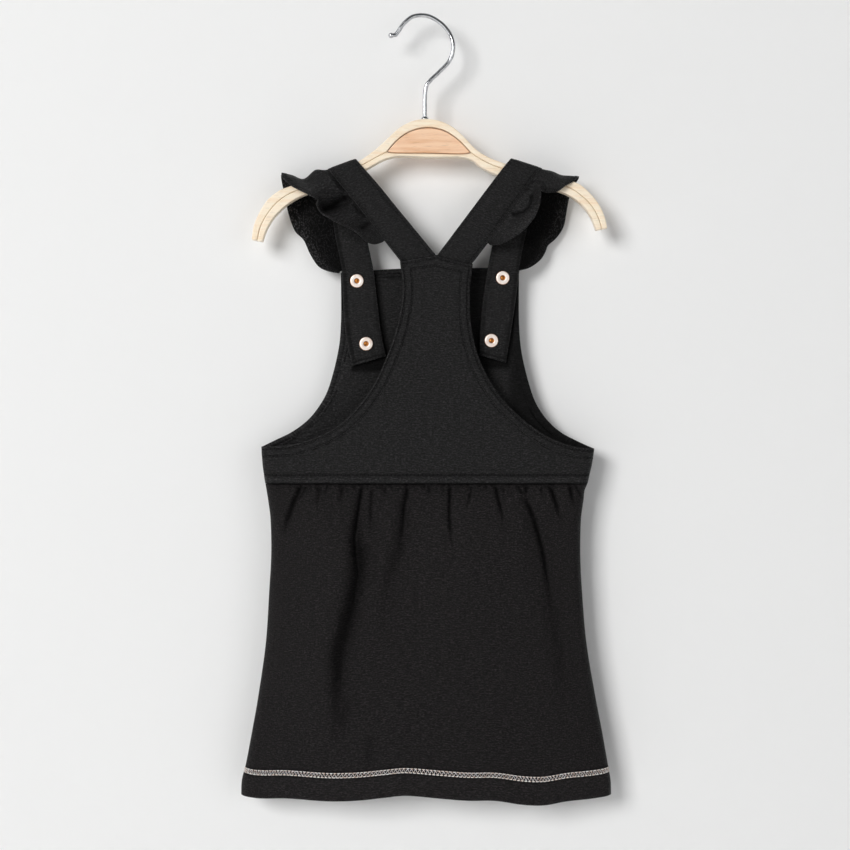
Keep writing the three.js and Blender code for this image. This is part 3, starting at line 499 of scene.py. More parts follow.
skirt = {
    "backColumns": 420, "frontColumns": 260,
    "rowBands": [(0, 0.024, 11), (0.024, 0.33, 43), (0.33, 0.895, 33), (0.895, 1, 26)],  # from, to, rows
    "cloth": 1.6, "hemCloth": 2.8, "hemBand": 21.0,
    "puckerEvery": 7.4, "puckerDeep": 1.0, "puckerWide": 1.3, "puckerIn": 6,
    "puckerLong": (3.5, 9.0), "puckerStrong": (0.4, 1.0), "puckerSpread": (0.8, 1.3),
    "gatherShare": 0.35, "hemStitches": (22.9, 17.6), "runHalf": 150.0,
    # z, left, right, depth
    "outline": [
        (waistZ, -122.4, 130.8, 9), (-372, -121.4, 128.6, 11.5), (-379, -120.3, 127.8, 13),
        (-394, -118.4, 125.8, 14.5), (-422, -117.8, 125.2, 15.5), (-452, -119.4, 126.6, 16.5),
        (-492, -122.0, 130.0, 17.5), (-535, -128.0, 137.0, 18.5), (-565, -133.2, 142.6, 19),
        (-590, -137.8, 146.8, 19), (-603, -140.9, 149.0, 18.8), (-616, -141.4, 149.4, 18.5),
    ],
    "frontFullness": 0.85,
    "hem": [
        (-141, -610.5), (-127, -612.2), (-105, -611.6), (-72, -613.2), (-50, -612.4), (-29, -610.1),
        (-12, -608.4), (15, -610.6), (36, -612.3), (58, -612.6), (80, -616.0), (96, -616.6), (113, -614.0),
        (134, -612.3), (149, -610.3),
    ],
    # troughs: top, middle, end, drop, width, deep
    "backGathers": [
        (-92.5, -99, -107, 46, 5.5, 3.6), (-78.5, -80, -81, 15, 4, 1.8),
        (-60.5, -63.5, -66.5, 27, 4.5, 2.6), (-46, -51.5, -68, 172, 8, 4.6),
        (-27.5, -28, -28.5, 16, 3.6, 1.6), (-10, -13.5, -19.5, 66, 6, 2.8), (6.5, 6.5, 6.5, 9, 3.6, 1.4),
        (23.5, 24, 25.5, 60, 4.6, 3.2), (36, 35.5, 34.5, 22, 4, 1.4), (60.5, 63.5, 67, 36, 5, 2.8),
        (71, 71.5, 72, 10, 3.6, 1.4), (83, 91, 104, 110, 7, 4.2), (103.5, 107.5, 111.5, 30, 5, 2.6),
        (118, 121, 124.5, 20, 4, 1.8),
    ],
    "frontGathers": [
        (-104, -107, -111, 34, 5, 2.6), (-84, -88, -95, 98, 7, 3.8), (-66, -67, -68, 18, 4, 1.6),
        (-51, -54, -57, 44, 5, 2.8), (-33, -33.5, -34, 16, 4, 1.6), (-18, -22, -29, 120, 7, 3.6),
        (3, 3, 3, 20, 4, 1.8), (19, 21, 24, 52, 5, 2.8), (36, 36.5, 37, 16, 4, 1.6),
        (52, 57, 66, 150, 8, 4.2), (71, 72, 73, 22, 4, 1.8), (88, 91, 95, 48, 5, 2.8),
        (109, 112, 116, 30, 5, 2.4),
    ],
    # soft folds: out, width, reach to the left and right, heights between which it fades, places x, z down it
    "backFolds": [
        (5.6, 4.6, 42, 60, -500, -585, [(-46, -369), (-52, -408), (-50, -430), (-54, -456),
            (-59, -476), (-65, -500), (-67, -616)]),
        (1.6, 26, 70, 70, -480, -600, [(-22, -369), (-26, -450), (-30, -616)]),
        (1.8, 4.5, 20, 26, -430, -500, [(-10, -369), (-15.5, -416), (-27, -446), (-32, -616)]),
        (2.0, 5, 34, 22, -480, -560, [(82, -369), (94, -418), (102, -466), (108, -520), (112, -616)]),
    ],
    "frontFolds": [
        (2.4, 7, 30, 40, -520, -600, [(-84, -369), (-92, -450), (-98, -616)]),
        (-1.8, 7, 36, 26, -470, -560, [(-18, -369), (-26, -460), (-30, -616)]),
        (2.2, 7, 26, 40, -520, -600, [(52, -369), (62, -470), (70, -616)]),
    ],
    # sharp creases in the gathers of the back: depth, width, then places x, z down the crease. Each is also
    # painted darker, as painted shade, and the wide shallow ones are mostly painted shadow
    "creases": [
        (2.4, 1.7, [(-93.6, -368.5), (-98, -378), (-103, -391), (-107.7, -407)]),
        (1.5, 1.3, [(-89.7, -368.5), (-93, -374), (-95.2, -380)]),
        (1.0, 1.4, [(-78.7, -369.3), (-80.5, -378), (-81.8, -386)]),
        (0.9, 1.1, [(-72.4, -367.7), (-74.5, -372), (-76.3, -375.6)]),
        (1.0, 1.3, [(-60.6, -368.5), (-62, -375), (-63.7, -382)]),
        (2.6, 1.3, [(-46, -369.3), (-49.5, -391), (-52, -408), (-51, -424),
            (-49, -438), (-52, -456), (-57, -474)]),
        # a painted shadow below fold B, over a shallow trough
        (1.0, 7.0, [(-46, -414), (-48, -438), (-52, -456), (-57, -476), (-63, -500), (-66, -536)]),
        (0.4, 5.0, [(-12.6, -376), (-17, -413), (-28, -446)]),
        (1.2, 1.4, [(-37.8, -369.3), (-39.3, -389), (-40.1, -411)]),
        (0.8, 1.1, [(-28.3, -368.5), (-27.5, -373), (-26.7, -377.1)]),
        (2.2, 1.3, [(-10.2, -369.3), (-13.4, -385.8), (-14.2, -403), (-15.7, -417.3)]),
        (0.9, 1.1, [(6.3, -367.7), (6.6, -372), (6.8, -375)]),
        (1.9, 1.1, [(22.8, -368.5), (22, -389), (23, -402), (24.4, -418.8)]),
        (1.0, 1.3, [(40.1, -368.5), (38, -377), (36.2, -385.8)]),
        (2.0, 1.2, [(58.2, -368.5), (61.3, -381.8), (63.4, -390), (65.3, -397.6)]),
        (0.9, 1.0, [(64.9, -368.5), (64.8, -372), (64.5, -376.3)]),
        (1.4, 1.2, [(76.3, -368.5), (79, -373), (81.8, -376.3)]),
        (1.4, 1.2, [(83, -368.5), (82.4, -372), (81.8, -376.3)]),
        (2.5, 1.8, [(83, -380), (88.9, -395.2), (95.2, -418.8), (103, -467.6)]),
        (0.9, 1.1, [(94.4, -368.5), (94.2, -373), (94, -377)]),
        (2.3, 1.6, [(100.7, -368.5), (102.3, -371.6), (107, -385.8), (109.3, -395.2)]),
        (1.6, 1.3, [(116.8, -368.5), (118, -376.3), (121.1, -385.8)]),
        (1.1, 1.2, [(121.1, -368.5), (124, -374), (126.6, -379.5)]),
        (0.25, 4.0, [(-38.8, -562), (-40.5, -574), (-41.8, -590)]),
        (0.25, 4.0, [(-57, -534), (-60, -548), (-62, -566)]),
    ],
}


def bendOf(top, middle, end, t):
    return top * (1 - 3 * t + 2 * t * t) + middle * 4 * (t - t * t) + end * (2 * t * t - t)


def gatherDepth(gathers, x, below):
    total = np.zeros_like(x)
    for top, middle, end, drop, width, deep in gathers:
        run = below / drop
        line = bendOf(top, middle, end, np.minimum(run, 1))
        fade = smoothStep(1.25 - run, 0, 0.8)
        total += deep * fade * bell(x - line, width * (0.75 + 0.6 * np.minimum(run, 1.25)))
    return total


def creaseDepth(creases, x, z):
    # Narrow slits between the gathers, tapered at their ends. The cloth on both sides puffs out and meets.
    # The darkness along each is painted shade
    slit, ridge, dark = np.zeros_like(x), np.zeros_like(x), np.zeros_like(x)
    for deep, wide, places in creases:
        px = np.array([place[0] for place in places])
        pz = np.array([place[1] for place in places])
        line = np.interp(z, pz[::-1], px[::-1])
        share = (pz[0] - z) / (pz[0] - pz[-1])
        taper = smoothStep(share, -0.06, 0.06) * smoothStep(1 - share, -0.02, 0.55)
        away = np.abs(x - line) / wide
        slit += 1.3 * deep * taper * np.exp(-(away ** 1.6))
        ridge += 0.3 * deep * taper * np.exp(-((away / 4.0) ** 2))
        dark = np.maximum(dark, min(deep / 2.2, 1) ** 0.5 * taper ** 0.7 * np.exp(-(away ** 2)))
    return slit, ridge, dark


def foldOut(folds, x, z, below):
    total = np.zeros_like(x)
    for out, width, left, right, fadeFrom, fadeTo, places in folds:
        line = np.array(places, float)
        away = x - smoothTable(line[:, 1], line[:, 0], z)
        reach = np.where(away < 0, left, right)
        total -= out * smoothStep(z, fadeTo, fadeFrom) * np.tanh(away / width) * bell(away, reach)
    return total * smoothStep(below, 2, 45)


def makeSkirt(name, facing, fullness, gathers, folds, creases, columns, seed):
    rng = random.Random(seed)
    topZ = waistZ - seamGap
    drop = topZ - hemLevel
    hemShare = 1 - skirt["hemBand"] / drop
    table = np.array(skirt["outline"], float)
    hem = np.array(skirt["hem"], float)
    puckers = []
    place = table[0, 1] + skirt["puckerIn"]
    while place < table[0, 2] - skirt["puckerIn"]:
        form = [rng.uniform(*skirt[key]) for key in ("puckerLong", "puckerStrong", "puckerSpread")]
        puckers.append((place, *form))
        place += skirt["puckerEvery"] * rng.uniform(0.6, 1.4)

    def placeAt(u, v):
        nearZ = topZ - drop * v
        left, right, full = [smoothTable(table[:, 0], table[:, k], nearZ) for k in (1, 2, 3)]
        depth = sideRadius + fullness * (full - sideRadius)
        half, middle = (right - left) / 2, (right + left) / 2
        s = 2 * u - 1
        s = 0.5 * s + 0.5 * np.sin(np.pi / 2 * s)
        across, level = sectionDepth(s * unrolled(half, half), half, depth)
        x = middle + across
        hemZ = smoothTable(hem[:, 0], hem[:, 1], x)
        z = topZ + (hemZ - topZ) * v
        sideFade = smoothStep(half - np.abs(across), 2, 12)
        inward = skirt["gatherShare"] * gatherDepth(gathers, x, topZ - nearZ)
        inward -= foldOut(folds, x, nearZ, topZ - nearZ)
        slit, ridge, dark = creaseDepth(creases, x, z)
        inward += slit - ridge
        below = topZ - z
        for at, long, deep, wide in puckers:
            pinch = smoothStep(1.2 - below / long, 0, 1) * bell(x - at, skirt["puckerWide"] * wide)
            inward += skirt["puckerDeep"] * deep * pinch
        y = level - inward * sideFade
        fromHem = z - hemZ
        y -= 0.9 * bell(fromHem, 0.9) * sideFade                     # rolled lower edge
        y -= 0.35 * bell(fromHem - 22.6, 0.8) * sideFade             # the coverstitch pulls the cloth in
        y += 0.35 * smoothStep(22.0 - fromHem, 0, 1.2) * sideFade    # doubled cloth of the hem
        y -= 0.5 * bell(below, 1.2) * sideFade                       # pulled in at the waist seam
        return np.stack([x, facing * (seamGap / 2 + np.maximum(y, 2.0 * sideFade)), z], axis=1)

    def runAt(u, v):
        return np.stack([(2 * u - 1) * skirt["runHalf"], -drop * v], axis=1)

    def outward(u, v):
        return facingWay(facing, len(u))

    def shadeAt(u, v):
        # Painted shade in the creases, puckers, waist seam and hem stitching lines
        place = placeAt(u, v)
        x, z = place[:, 0], place[:, 2]
        dark = 0.85 * creaseDepth(creases, x, z)[2]
        for at, long, deep, wide in puckers:
            pinch = smoothStep(1.1 - (topZ - z) / long, 0, 1) * bell(x - at, 0.8 * wide)
            dark = np.maximum(dark, 0.35 * deep * pinch)
        dark = np.maximum(dark, 0.6 * bell(topZ - z, 0.6))
        fromHem = drop * (1 - v)
        for stitched in skirt["hemStitches"]:
            dark = np.maximum(dark, 0.5 * bell(fromHem - stitched, 0.8))
        return (1 - dark) * (1 + 0.2 * smoothStep(18 - fromHem, 0, 2))    # painted light: the doubled hem band a little lighter

    across, down = np.linspace(0, 1, columns + 1), bands(skirt["rowBands"])
    piece, u, v = clothGrid(name, across, down, placeAt, runAt, outward, shadeAt)
    thin = skirt["cloth"] / skirt["hemCloth"]
    piece.data.materials.append(skirtJerseyPaintedShade)
    thicken(piece, skirt["hemCloth"], np.where(v > hemShare, 1.0, thin), terry)
    return piece, placeAt


skirtBack, skirtBackAt = makeSkirt(
    "skirtBack", -1, 1.0, skirt["backGathers"], skirt["backFolds"], skirt["creases"], skirt["backColumns"], 4)
frontCreases = [
    (0.45 * deep, 1.3, [
        (bendOf(top, middle, end, t), waistZ - 2 - 0.8 * drop * t) for t in (0, 0.35, 0.7, 1)
    ])
    for top, middle, end, drop, width, deep in skirt["frontGathers"]
]
skirtFront, skirtFrontAt = makeSkirt(
    "skirtFront", 1, skirt["frontFullness"], skirt["frontGathers"], skirt["frontFolds"], frontCreases,
    skirt["frontColumns"], 9)
print("skirt made")


# Bodice. The table of the straps stands first, because the inside of the bib has painted shadows beside them

straps = {
    "rows": 120, "stitchIn": 2.4, "crown": 0.9,  # crown: how much the sides curve away
    # inX, inZ, outX, outZ, y, from the back panel over the hanger and down inside the bib
    "left": [
        (14.1, -190.2, -14.4, -194.8, -6.4), (-3.6, -168.6, -30.2, -174.9, -7.7),
        (-18.8, -150.1, -43.6, -157.8, -7.6), (-34.0, -131.4, -57.0, -140.7, -7.5),
        (-46.9, -116.8, -69.4, -125.6, -7.4), (-50.0, -113.2, -72.2, -121.4, -5.9),
        (-51.0, -112.4, -73.2, -120.6, -2.3), (-51.0, -112.4, -73.3, -120.6, 2.3),
        (-50.8, -113.2, -73.3, -121.4, 5.9), (-50.0, -118.4, -72.9, -126.4, 7.4),
        (-47.0, -144.0, -71.6, -146.5, 7.1), (-43.0, -170.4, -68.8, -169.5, 6.0),
        (-37.0, -200.5, -62.8, -200.5, 4.3), (-34.0, -225.0, -61.6, -225.6, 4.2),
        (-31.0, -248.7, -59.2, -252.4, 4.0), (-27.2, -266.2, -54.6, -274.2, 3.5),
    ],
    "right": [
        (10.2, -190.4, 37.8, -197.4, -6.4), (26.8, -168.4, 52.6, -178.2, -7.7),
        (41.2, -149.2, 66.2, -159.2, -7.6), (55.6, -130.0, 80.0, -139.8, -7.5),
        (66.8, -115.6, 91.6, -123.9, -7.4), (69.4, -112.8, 94.2, -120.9, -5.7),
        (70.2, -112.0, 95.0, -120.0, -2.3), (70.2, -112.0, 95.0, -120.0, 2.3),
        (69.8, -113.2, 94.6, -121.4, 5.9), (68.6, -118.6, 94.0, -126.4, 7.4),
        (62.2, -147.0, 88.4, -150.0, 7.1), (55.7, -179.5, 81.2, -179.5, 5.5),
        (52.0, -200.0, 77.6, -200.0, 4.3), (48.6, -221.0, 74.8, -222.4, 4.2),
        (46.2, -246.0, 70.8, -249.8, 4.0), (45.4, -265.4, 67.2, -271.6, 3.5),
    ],
}
bodice = {
    "edgeColumns": 22, "middleColumns": 70,
    "ridgeHeight": 1.2, "ridgeWidth": 7.0,
    "firstLine": 2.2, "secondLine": 7.8, "band": 8.8,  # mm in from the edge
    "sideLeft": [(-125.6, -337.6), (-124.6, -352), (-122.4, waistZ)],
    "sideRight": [(136.2, -339.0), (134.4, -351), (130.8, waistZ)],
    "middle": (12, -360), "waist": (-121.5, 131.5),
    "rowBands": [(0, 0.05, 17), (0.05, 0.42, 55), (0.42, 0.78, 99), (0.78, 1, 51)],  # from, to, rows
}
backPanel = {
    "facing": -1, "topMiddle": -187.6, "cornerMiddle": -349.0, "bow": 1.0,
    "left": [
        (-16.5, -192.3), (-14.3, -214.3), (-17.9, -240), (-27.1, -267.6), (-40.9, -295.1), (-64.7, -320.7),
        (-97.8, -335),
    ],
    "right": [
        (40.5, -194.7), (38.4, -214.3), (39.9, -247.4), (49, -276.7), (67.4, -304.2), (96.7, -328.1),
        (120, -337.2),
    ],
}
bibPanel = {
    "facing": 1, "topMiddle": -196.4, "cornerMiddle": -347.0, "bow": 2.0,
    "left": [
        (-63.4, -200.3), (-63.4, -239.5), (-65.2, -260), (-73.8, -293), (-80.2, -305), (-89.6, -316.6),
        (-102.2, -326), (-115.4, -332.5),
    ],
    "right": [
        (77.5, -195.6), (77.5, -239.6), (79.4, -262.2), (86.9, -293), (91.8, -305), (99.8, -316.6),
        (110.2, -326), (122.6, -332.8),
    ],
}


def sidesAt(low):
    # Half the width and the middle of the bodice between its side seams
    left, right = softCurve(bodice["sideLeft"], low), softCurve(bodice["sideRight"], low)
    return (right[:, 0] - left[:, 0]) / 2, (right[:, 0] + left[:, 0]) / 2


def groovesAt(inside):
    # The two stitched lines along the edge, where painted shade darkens the cloth
    return np.maximum(bell(inside - bodice["firstLine"], 0.55), bell(inside - bodice["secondLine"], 0.55))


def makeBodice(name, panel):
    facing = panel["facing"]
    armLeft = panel["left"] + bodice["sideLeft"][:1]
    armRight = panel["right"] + bodice["sideRight"][:1]

    def edgeAt(arm, side, v):
        low = softCurve(side, (v - armShare) / (1 - armShare))
        high = evenCurve(arm, np.minimum(v / armShare, 1))
        return np.where((v < armShare)[:, None], high, low)

    def flatAt(u, v):
        left, right = edgeAt(armLeft, bodice["sideLeft"], v), edgeAt(armRight, bodice["sideRight"], v)
        low = np.clip((v - armShare) / (1 - armShare), 0, 1)
        high = np.minimum(v / armShare, 1)
        half, centre = sidesAt(low)
        start, end = unrolled(left[:, 0] - centre, half), unrolled(right[:, 0] - centre, half)
        s = 2 * u - 1
        across, level = sectionDepth((start + end) / 2 + s * (end - start) / 2, half, bodiceDepth)
        middleZ = np.where(
            low > 0,
            panel["cornerMiddle"] + (waistZ - panel["cornerMiddle"]) * low,
            panel["topMiddle"] + (panel["cornerMiddle"] - panel["topMiddle"]) * high,
        )
        endZ = np.where(u < 0.5, left[:, 1], right[:, 1])
        bow = panel["bow"] + (2 - panel["bow"]) * np.minimum(3 * high, 1)
        z = middleZ + (endZ - middleZ) * np.abs(s) ** bow
        return centre + across, level, z

    topU = np.linspace(0, 1, 60)
    topX, _, topZ = flatAt(topU, np.zeros(60))
    topLine = np.stack([topX, topZ], axis=1)
    share = np.linspace(0, 1, 90)
    edges = [topLine, evenCurve(armLeft, share), evenCurve(armRight, share)]

    def edgeDistance(x, z):
        return np.minimum.reduce([distanceTo(x, z, line) for line in edges])

    def placeAt(u, v):
        x, level, z = flatAt(u, v)
        inside = edgeDistance(x, z)
        ridgeShare = np.clip((z - waistZ) / bodice["ridgeWidth"], 0, 1)
        y = level + bodice["ridgeHeight"] * np.sin(np.pi * ridgeShare**0.6) ** 0.8
        y += 0.5 * smoothStep(bodice["band"] - inside, 0, 1.4)
        y -= 1.1 * bell(inside, 0.8)
        for line in (bodice["firstLine"], bodice["secondLine"]):
            y -= 0.9 * bell(inside - line, 0.65)
        y -= 0.7 * bell(z - waistZ - bodice["ridgeWidth"], 0.8)
        return np.stack([x, facing * (seamGap / 2 + y), z], axis=1)

    def runAt(u, v):
        x, _, z = flatAt(u, v)
        return np.stack([x, z], axis=1)

    def outward(u, v):
        return facingWay(facing, len(u))

    def shadeAt(u, v):
        # Painted shade in the stitched grooves and at the waist seam and its stitching; painted highlights on
        # the rolled edge and the waist ridge
        place = placeAt(u, v)
        inside = edgeDistance(place[:, 0], place[:, 2])
        above = place[:, 2] - waistZ
        waist = np.maximum(bell(above - bodice["ridgeWidth"], 0.55), 1.2 * bell(above, 0.7))
        paintedHighlight = 0.45 * bell(inside - 0.8, 0.8) + 0.45 * bell(above - 3.2, 2.0)
        return (1 + paintedHighlight) * (1 - 0.85 * np.maximum(groovesAt(inside), waist))

    def innerAt(u, v):
        # The inside of the bib: a painted highlight along its left edge and rim, painted shade in its grooves
        # and between the straps, and painted shadows close to the straps
        place = placeAt(u, v)
        x, z = place[:, 0], place[:, 2]
        leftEdgeHighlight = bell(distanceTo(x, z, edges[1]), 6.5)
        inside = edgeDistance(x, z)
        dark = 0.4 * groovesAt(inside)
        for side in ("left", "right"):
            rows = np.array(straps[side], float)[-5:]
            inX, outX = [np.interp(z, rows[::-1, k + 1], rows[::-1, k]) for k in (0, 2)]
            endZ = np.minimum(rows[-1, 1], rows[-1, 3])
            beside = smoothStep(np.maximum(inX, outX) + 5.5 - x, 0, 4) * (x > np.minimum(inX, outX))
            dark = np.maximum(dark, 0.9 * smoothStep(z, endZ - 7, endZ - 2) * beside)
        between = smoothStep(x, 32, 38) * smoothStep(58 - x, 0, 6)
        dark = np.maximum(dark, 0.65 * np.maximum(between, smoothStep(x, 66, 74)))
        return (1 + 0.45 * bell(inside - 0.8, 0.8) + 0.9 * leftEdgeHighlight) * (1 - dark)

    # Close lines within the stitched bands, wider ones between
    band = np.linspace(0, 1, bodice["edgeColumns"] + 1)
    middle = np.linspace(0, 1, bodice["middleColumns"] + 1)
    share = 0.055 if facing < 0 else 0.05
    u = np.concatenate([band * share, share + middle[1:] * (1 - 2 * share), 1 - share + band[1:] * share])
    isBib = panel is bibPanel
    piece, pu, pv = clothGrid(name, u, bands(bodice["rowBands"]), placeAt, runAt, outward, shadeAt,
                              innerAt if isBib else None)
    piece.data.materials.append(jersey)
    place = placeAt(pu, pv)
    weights = 1 - 0.65 * bell(edgeDistance(place[:, 0], place[:, 2]), 1.2)
    thicken(piece, bodiceCloth, weights, bibInnerPaintedShade if isBib else None)

    def surfaceAt(x, z):
        # Height of the outer face at a place, for the stitches
        corner = bodice["sideLeft"][0][1]
        half, centre = sidesAt(np.clip((corner - z) / (corner - waistZ), 0, 1))
        return sectionDepth(unrolled(x - centre, half), half, bodiceDepth)[1]

    return piece, surfaceAt, edges


bodiceBack, backSurface, backEdges = makeBodice("backPanel", backPanel)
bodiceFront, bibSurface, bibEdges = makeBodice("bib", bibPanel)
print("bodice made")


# Straps and ruffles

ruffles = {
    "columns": 26, "rows": 190, "tuck": 0.8, "run": (26.0, 165.0),
    # strap row, x, y, z of the free edge, from back to front
    "left": [
        (0.92, -29.8, -8.4, -177.4), (1.05, -36.5, -10.0, -179.2), (1.25, -42.8, -12.0, -177.2),
        (1.5, -48.6, -14.0, -171.8), (1.8, -54.8, -15.5, -167.4), (2.1, -62.5, -15.5, -164.4),
        (2.4, -70.0, -15.0, -160.8), (2.68, -76.6, -17.0, -155.8), (2.9, -80.4, -20.0, -150.6),
        (3.1, -79.6, -22.5, -146.2), (3.45, -86.1, -21.5, -142.2), (3.95, -95.0, -18.0, -137.2),
        (4.5, -102.4, -14.0, -132.6), (5.2, -108.6, -9.0, -126.0), (6.3, -109.4, -1.5, -122.4),
        (7.2, -110.4, 3.5, -124.0), (8.2, -110.0, 8.5, -129.2), (9.1, -107.6, 14.0, -140.0),
        (9.6, -105.4, 16.5, -152.0), (10.1, -99.8, 18.5, -166.4), (10.6, -92.8, 15.5, -173.6),
        (11.0, -87.6, 14.5, -184.6), (11.4, -80.6, 11.5, -195.0), (11.7, -73.6, 8.0, -198.8),
        (11.95, -64.4, 4.9, -201.0),
    ],
    "right": [
        (0.98, 53.4, -8.4, -178.4), (1.12, 59.0, -10.0, -179.6), (1.35, 66.0, -12.5, -177.2),
        (1.65, 74.6, -15.0, -172.2), (2.0, 82.4, -17.0, -165.8), (2.35, 88.0, -18.5, -158.0),
        (2.7, 91.0, -19.5, -150.2), (3.05, 92.0, -20.0, -142.2), (3.4, 92.4, -17.5, -137.6),
        (3.8, 98.4, -12.5, -138.8), (4.4, 106.4, -12.5, -138.0), (5.0, 112.8, -11.0, -133.4),
        (5.6, 118.4, -7.5, -129.8), (6.6, 124.4, 0.5, -125.0), (8.2, 121.8, 8.5, -130.0),
        (9.1, 117.6, 13.5, -139.6), (9.6, 115.2, 16.5, -151.0), (10.1, 112.6, 17.5, -163.2),
        (10.45, 107.0, 16.5, -171.6), (10.7, 100.0, 14.5, -178.0), (10.9, 98.0, 13.0, -183.0),
        (11.15, 95.6, 12.0, -187.4), (11.4, 91.2, 10.2, -192.0), (11.7, 84.6, 7.0, -196.4),
        (11.95, 78.2, 4.8, -198.6),
    ],
    "dip": {"left": 3.6, "right": 0.8},  # how far the cloth sinks between the strap and the tip
    "paintedFrontShade": {"left": 0.5, "right": 0.8},  # painted shade inside the front half, seen through the loop of the strap
    # painted highlight along the edge of the front half
    "paintedFrontHighlight": {"left": 0.8, "right": 0.3},
    # pinches and puffs of the back half: depth in, width, darkness of painted shade, then places x, z
    "leftMarks": [
        (7.0, 3.2, 0.95, [(-54.5, -141.5), (-62.0, -146.0), (-69.0, -150.4), (-74.0, -152.0)]),
        (2.2, 1.6, 0.8, [(-40.0, -162.4), (-45.8, -166.4)]),
        (1.0, 1.1, 0.6, [(-51.9, -148.2), (-49.5, -154.0)]),
        (-5.0, 8.0, 0.0, [(-68.0, -134.0), (-83.0, -141.0)]),
        (-5.0, 6.5, 0.0, [(-52.0, -156.0), (-68.0, -159.5)]),
        (-2.0, 4.0, 0.0, [(-40.0, -171.0), (-46.0, -170.0)]),
    ],
    "rightMarks": [
        (2.2, 1.3, 0.85, [(86.5, -141.6), (86.0, -146.0), (84.0, -150.4), (80.0, -154.0), (73.0, -155.6)]),
        (-3.4, 2.4, 0.0, [(83.0, -132.0), (93.0, -133.4)]),
        (1.2, 1.3, 0.5, [(79.5, -136.5), (84.0, -136.0)]),
        (-2.6, 5.0, 0.0, [(72.0, -167.0), (80.0, -162.0), (87.0, -152.0)]),
        (1.6, 2.6, 0.6, [(97.5, -138.0), (107.0, -137.5)]),
    ],
}


def strapCurves(rows, t):
    table = np.array(rows, float)
    inner = softCurve(table[:, [0, 4, 1]], t)
    outer = softCurve(table[:, [2, 4, 3]], t)
    return inner, outer


def strapOutward(rows, t):
    # Away from the hanger: back on the back leg, up over the wood, forward on the front leg
    step = 0.01
    ahead = sum(strapCurves(rows, np.minimum(t + step, 1)))
    behind = sum(strapCurves(rows, np.maximum(t - step, 0)))
    inner, outer = strapCurves(rows, t)
    normal = np.cross(ahead - behind, outer - inner)
    normal /= np.linalg.norm(normal, axis=1)[:, None]
    middle = (inner + outer) / 2
    row = t * (len(rows) - 1)
    hint = np.stack([0 * t, np.sign(middle[:, 1]), np.where((row > 4) & (row < 9), 2.0, 0.0)], axis=1)
    return normal * np.where(np.sum(normal * hint, axis=1) < 0, -1, 1)[:, None]


def makeStrap(name, rows):
    inner, outer = strapCurves(rows, np.linspace(0, 1, 400))
    along = lengthsAlong((inner + outer) / 2)
    length = along[-1]
    width = float(np.mean(np.linalg.norm(outer - inner, axis=1)))

    def lengthAt(v):
        return np.interp(v, np.linspace(0, 1, 400), along)

    def placeAt(u, v):
        inEdge, outEdge = strapCurves(rows, v)
        out = strapOutward(rows, v)
        edge = np.minimum(u, 1 - u) * width
        lift = strapCloth / 2 - 0.45 * bell(edge - straps["stitchIn"], 0.8)
        lift -= 0.5 * bell(edge, 0.9)
        row = v * (len(rows) - 1)
        curled = smoothStep(row, 8.5, 10.5) - smoothStep(5 - row, 0, 2) * smoothStep(row, 0, 0.8)
        lift += straps["crown"] * (2 * u - 1) ** 2 * curled
        at = lengthAt(v)
        lift += 0.35 * smoothStep(at, length - 11, length - 9.5)     # end turned up and doubled
        lift -= 0.5 * bell(at - (length - 2.4), 0.6)
        return inEdge + (outEdge - inEdge) * u[:, None] + out * lift[:, None]

    def runAt(u, v):
        return np.stack([u * width, lengthAt(v)], axis=1)

    def shadeAt(u, v):
        # Painted shade in the stitched grooves and the fold at the end; painted highlights on the edges and
        # the end
        edge = np.minimum(u, 1 - u) * width
        toEnd = length - lengthAt(v)
        groove = bell(edge - straps["stitchIn"], 0.8) * np.where(u < 0.5, 0.3, 0.6)
        paintedHighlight = 0.45 * bell(edge - 0.7, 0.8) + 0.7 * bell(toEnd - 0.6, 1.1)
        return (1 + paintedHighlight) * (1 - np.maximum(groove, 0.75 * bell(toEnd - 2.4, 0.5)))

    def outward(u, v):
        return strapOutward(rows, v)

    across = bands([(0, 0.16, 8), (0.16, 0.84, 8), (0.84, 1, 8)])
    down = bands([(0, 0.96, straps["rows"]), (0.96, 1, 10)])
    piece = clothGrid(name, across, down, placeAt, runAt, outward, shadeAt)[0]
    piece.data.materials.append(jersey)
    thicken(piece, strapCloth, subdivide=1)
    return piece, placeAt, length, width


strapPieces = {side: makeStrap("strap" + side.title(), straps[side]) for side in ("left", "right")}


def marksAt(marks, x, z):
    # Depth and darkness of listed pinches and puffs
    # The darkness is painted shade in the pinches
    depth, dark = np.zeros_like(x), np.zeros_like(x)
    for deep, wide, tone, places in marks:
        near = bell(distanceTo(x, z, np.array(places, float)), wide)
        depth += deep * near
        dark = np.maximum(dark, tone * near)
    return depth, dark


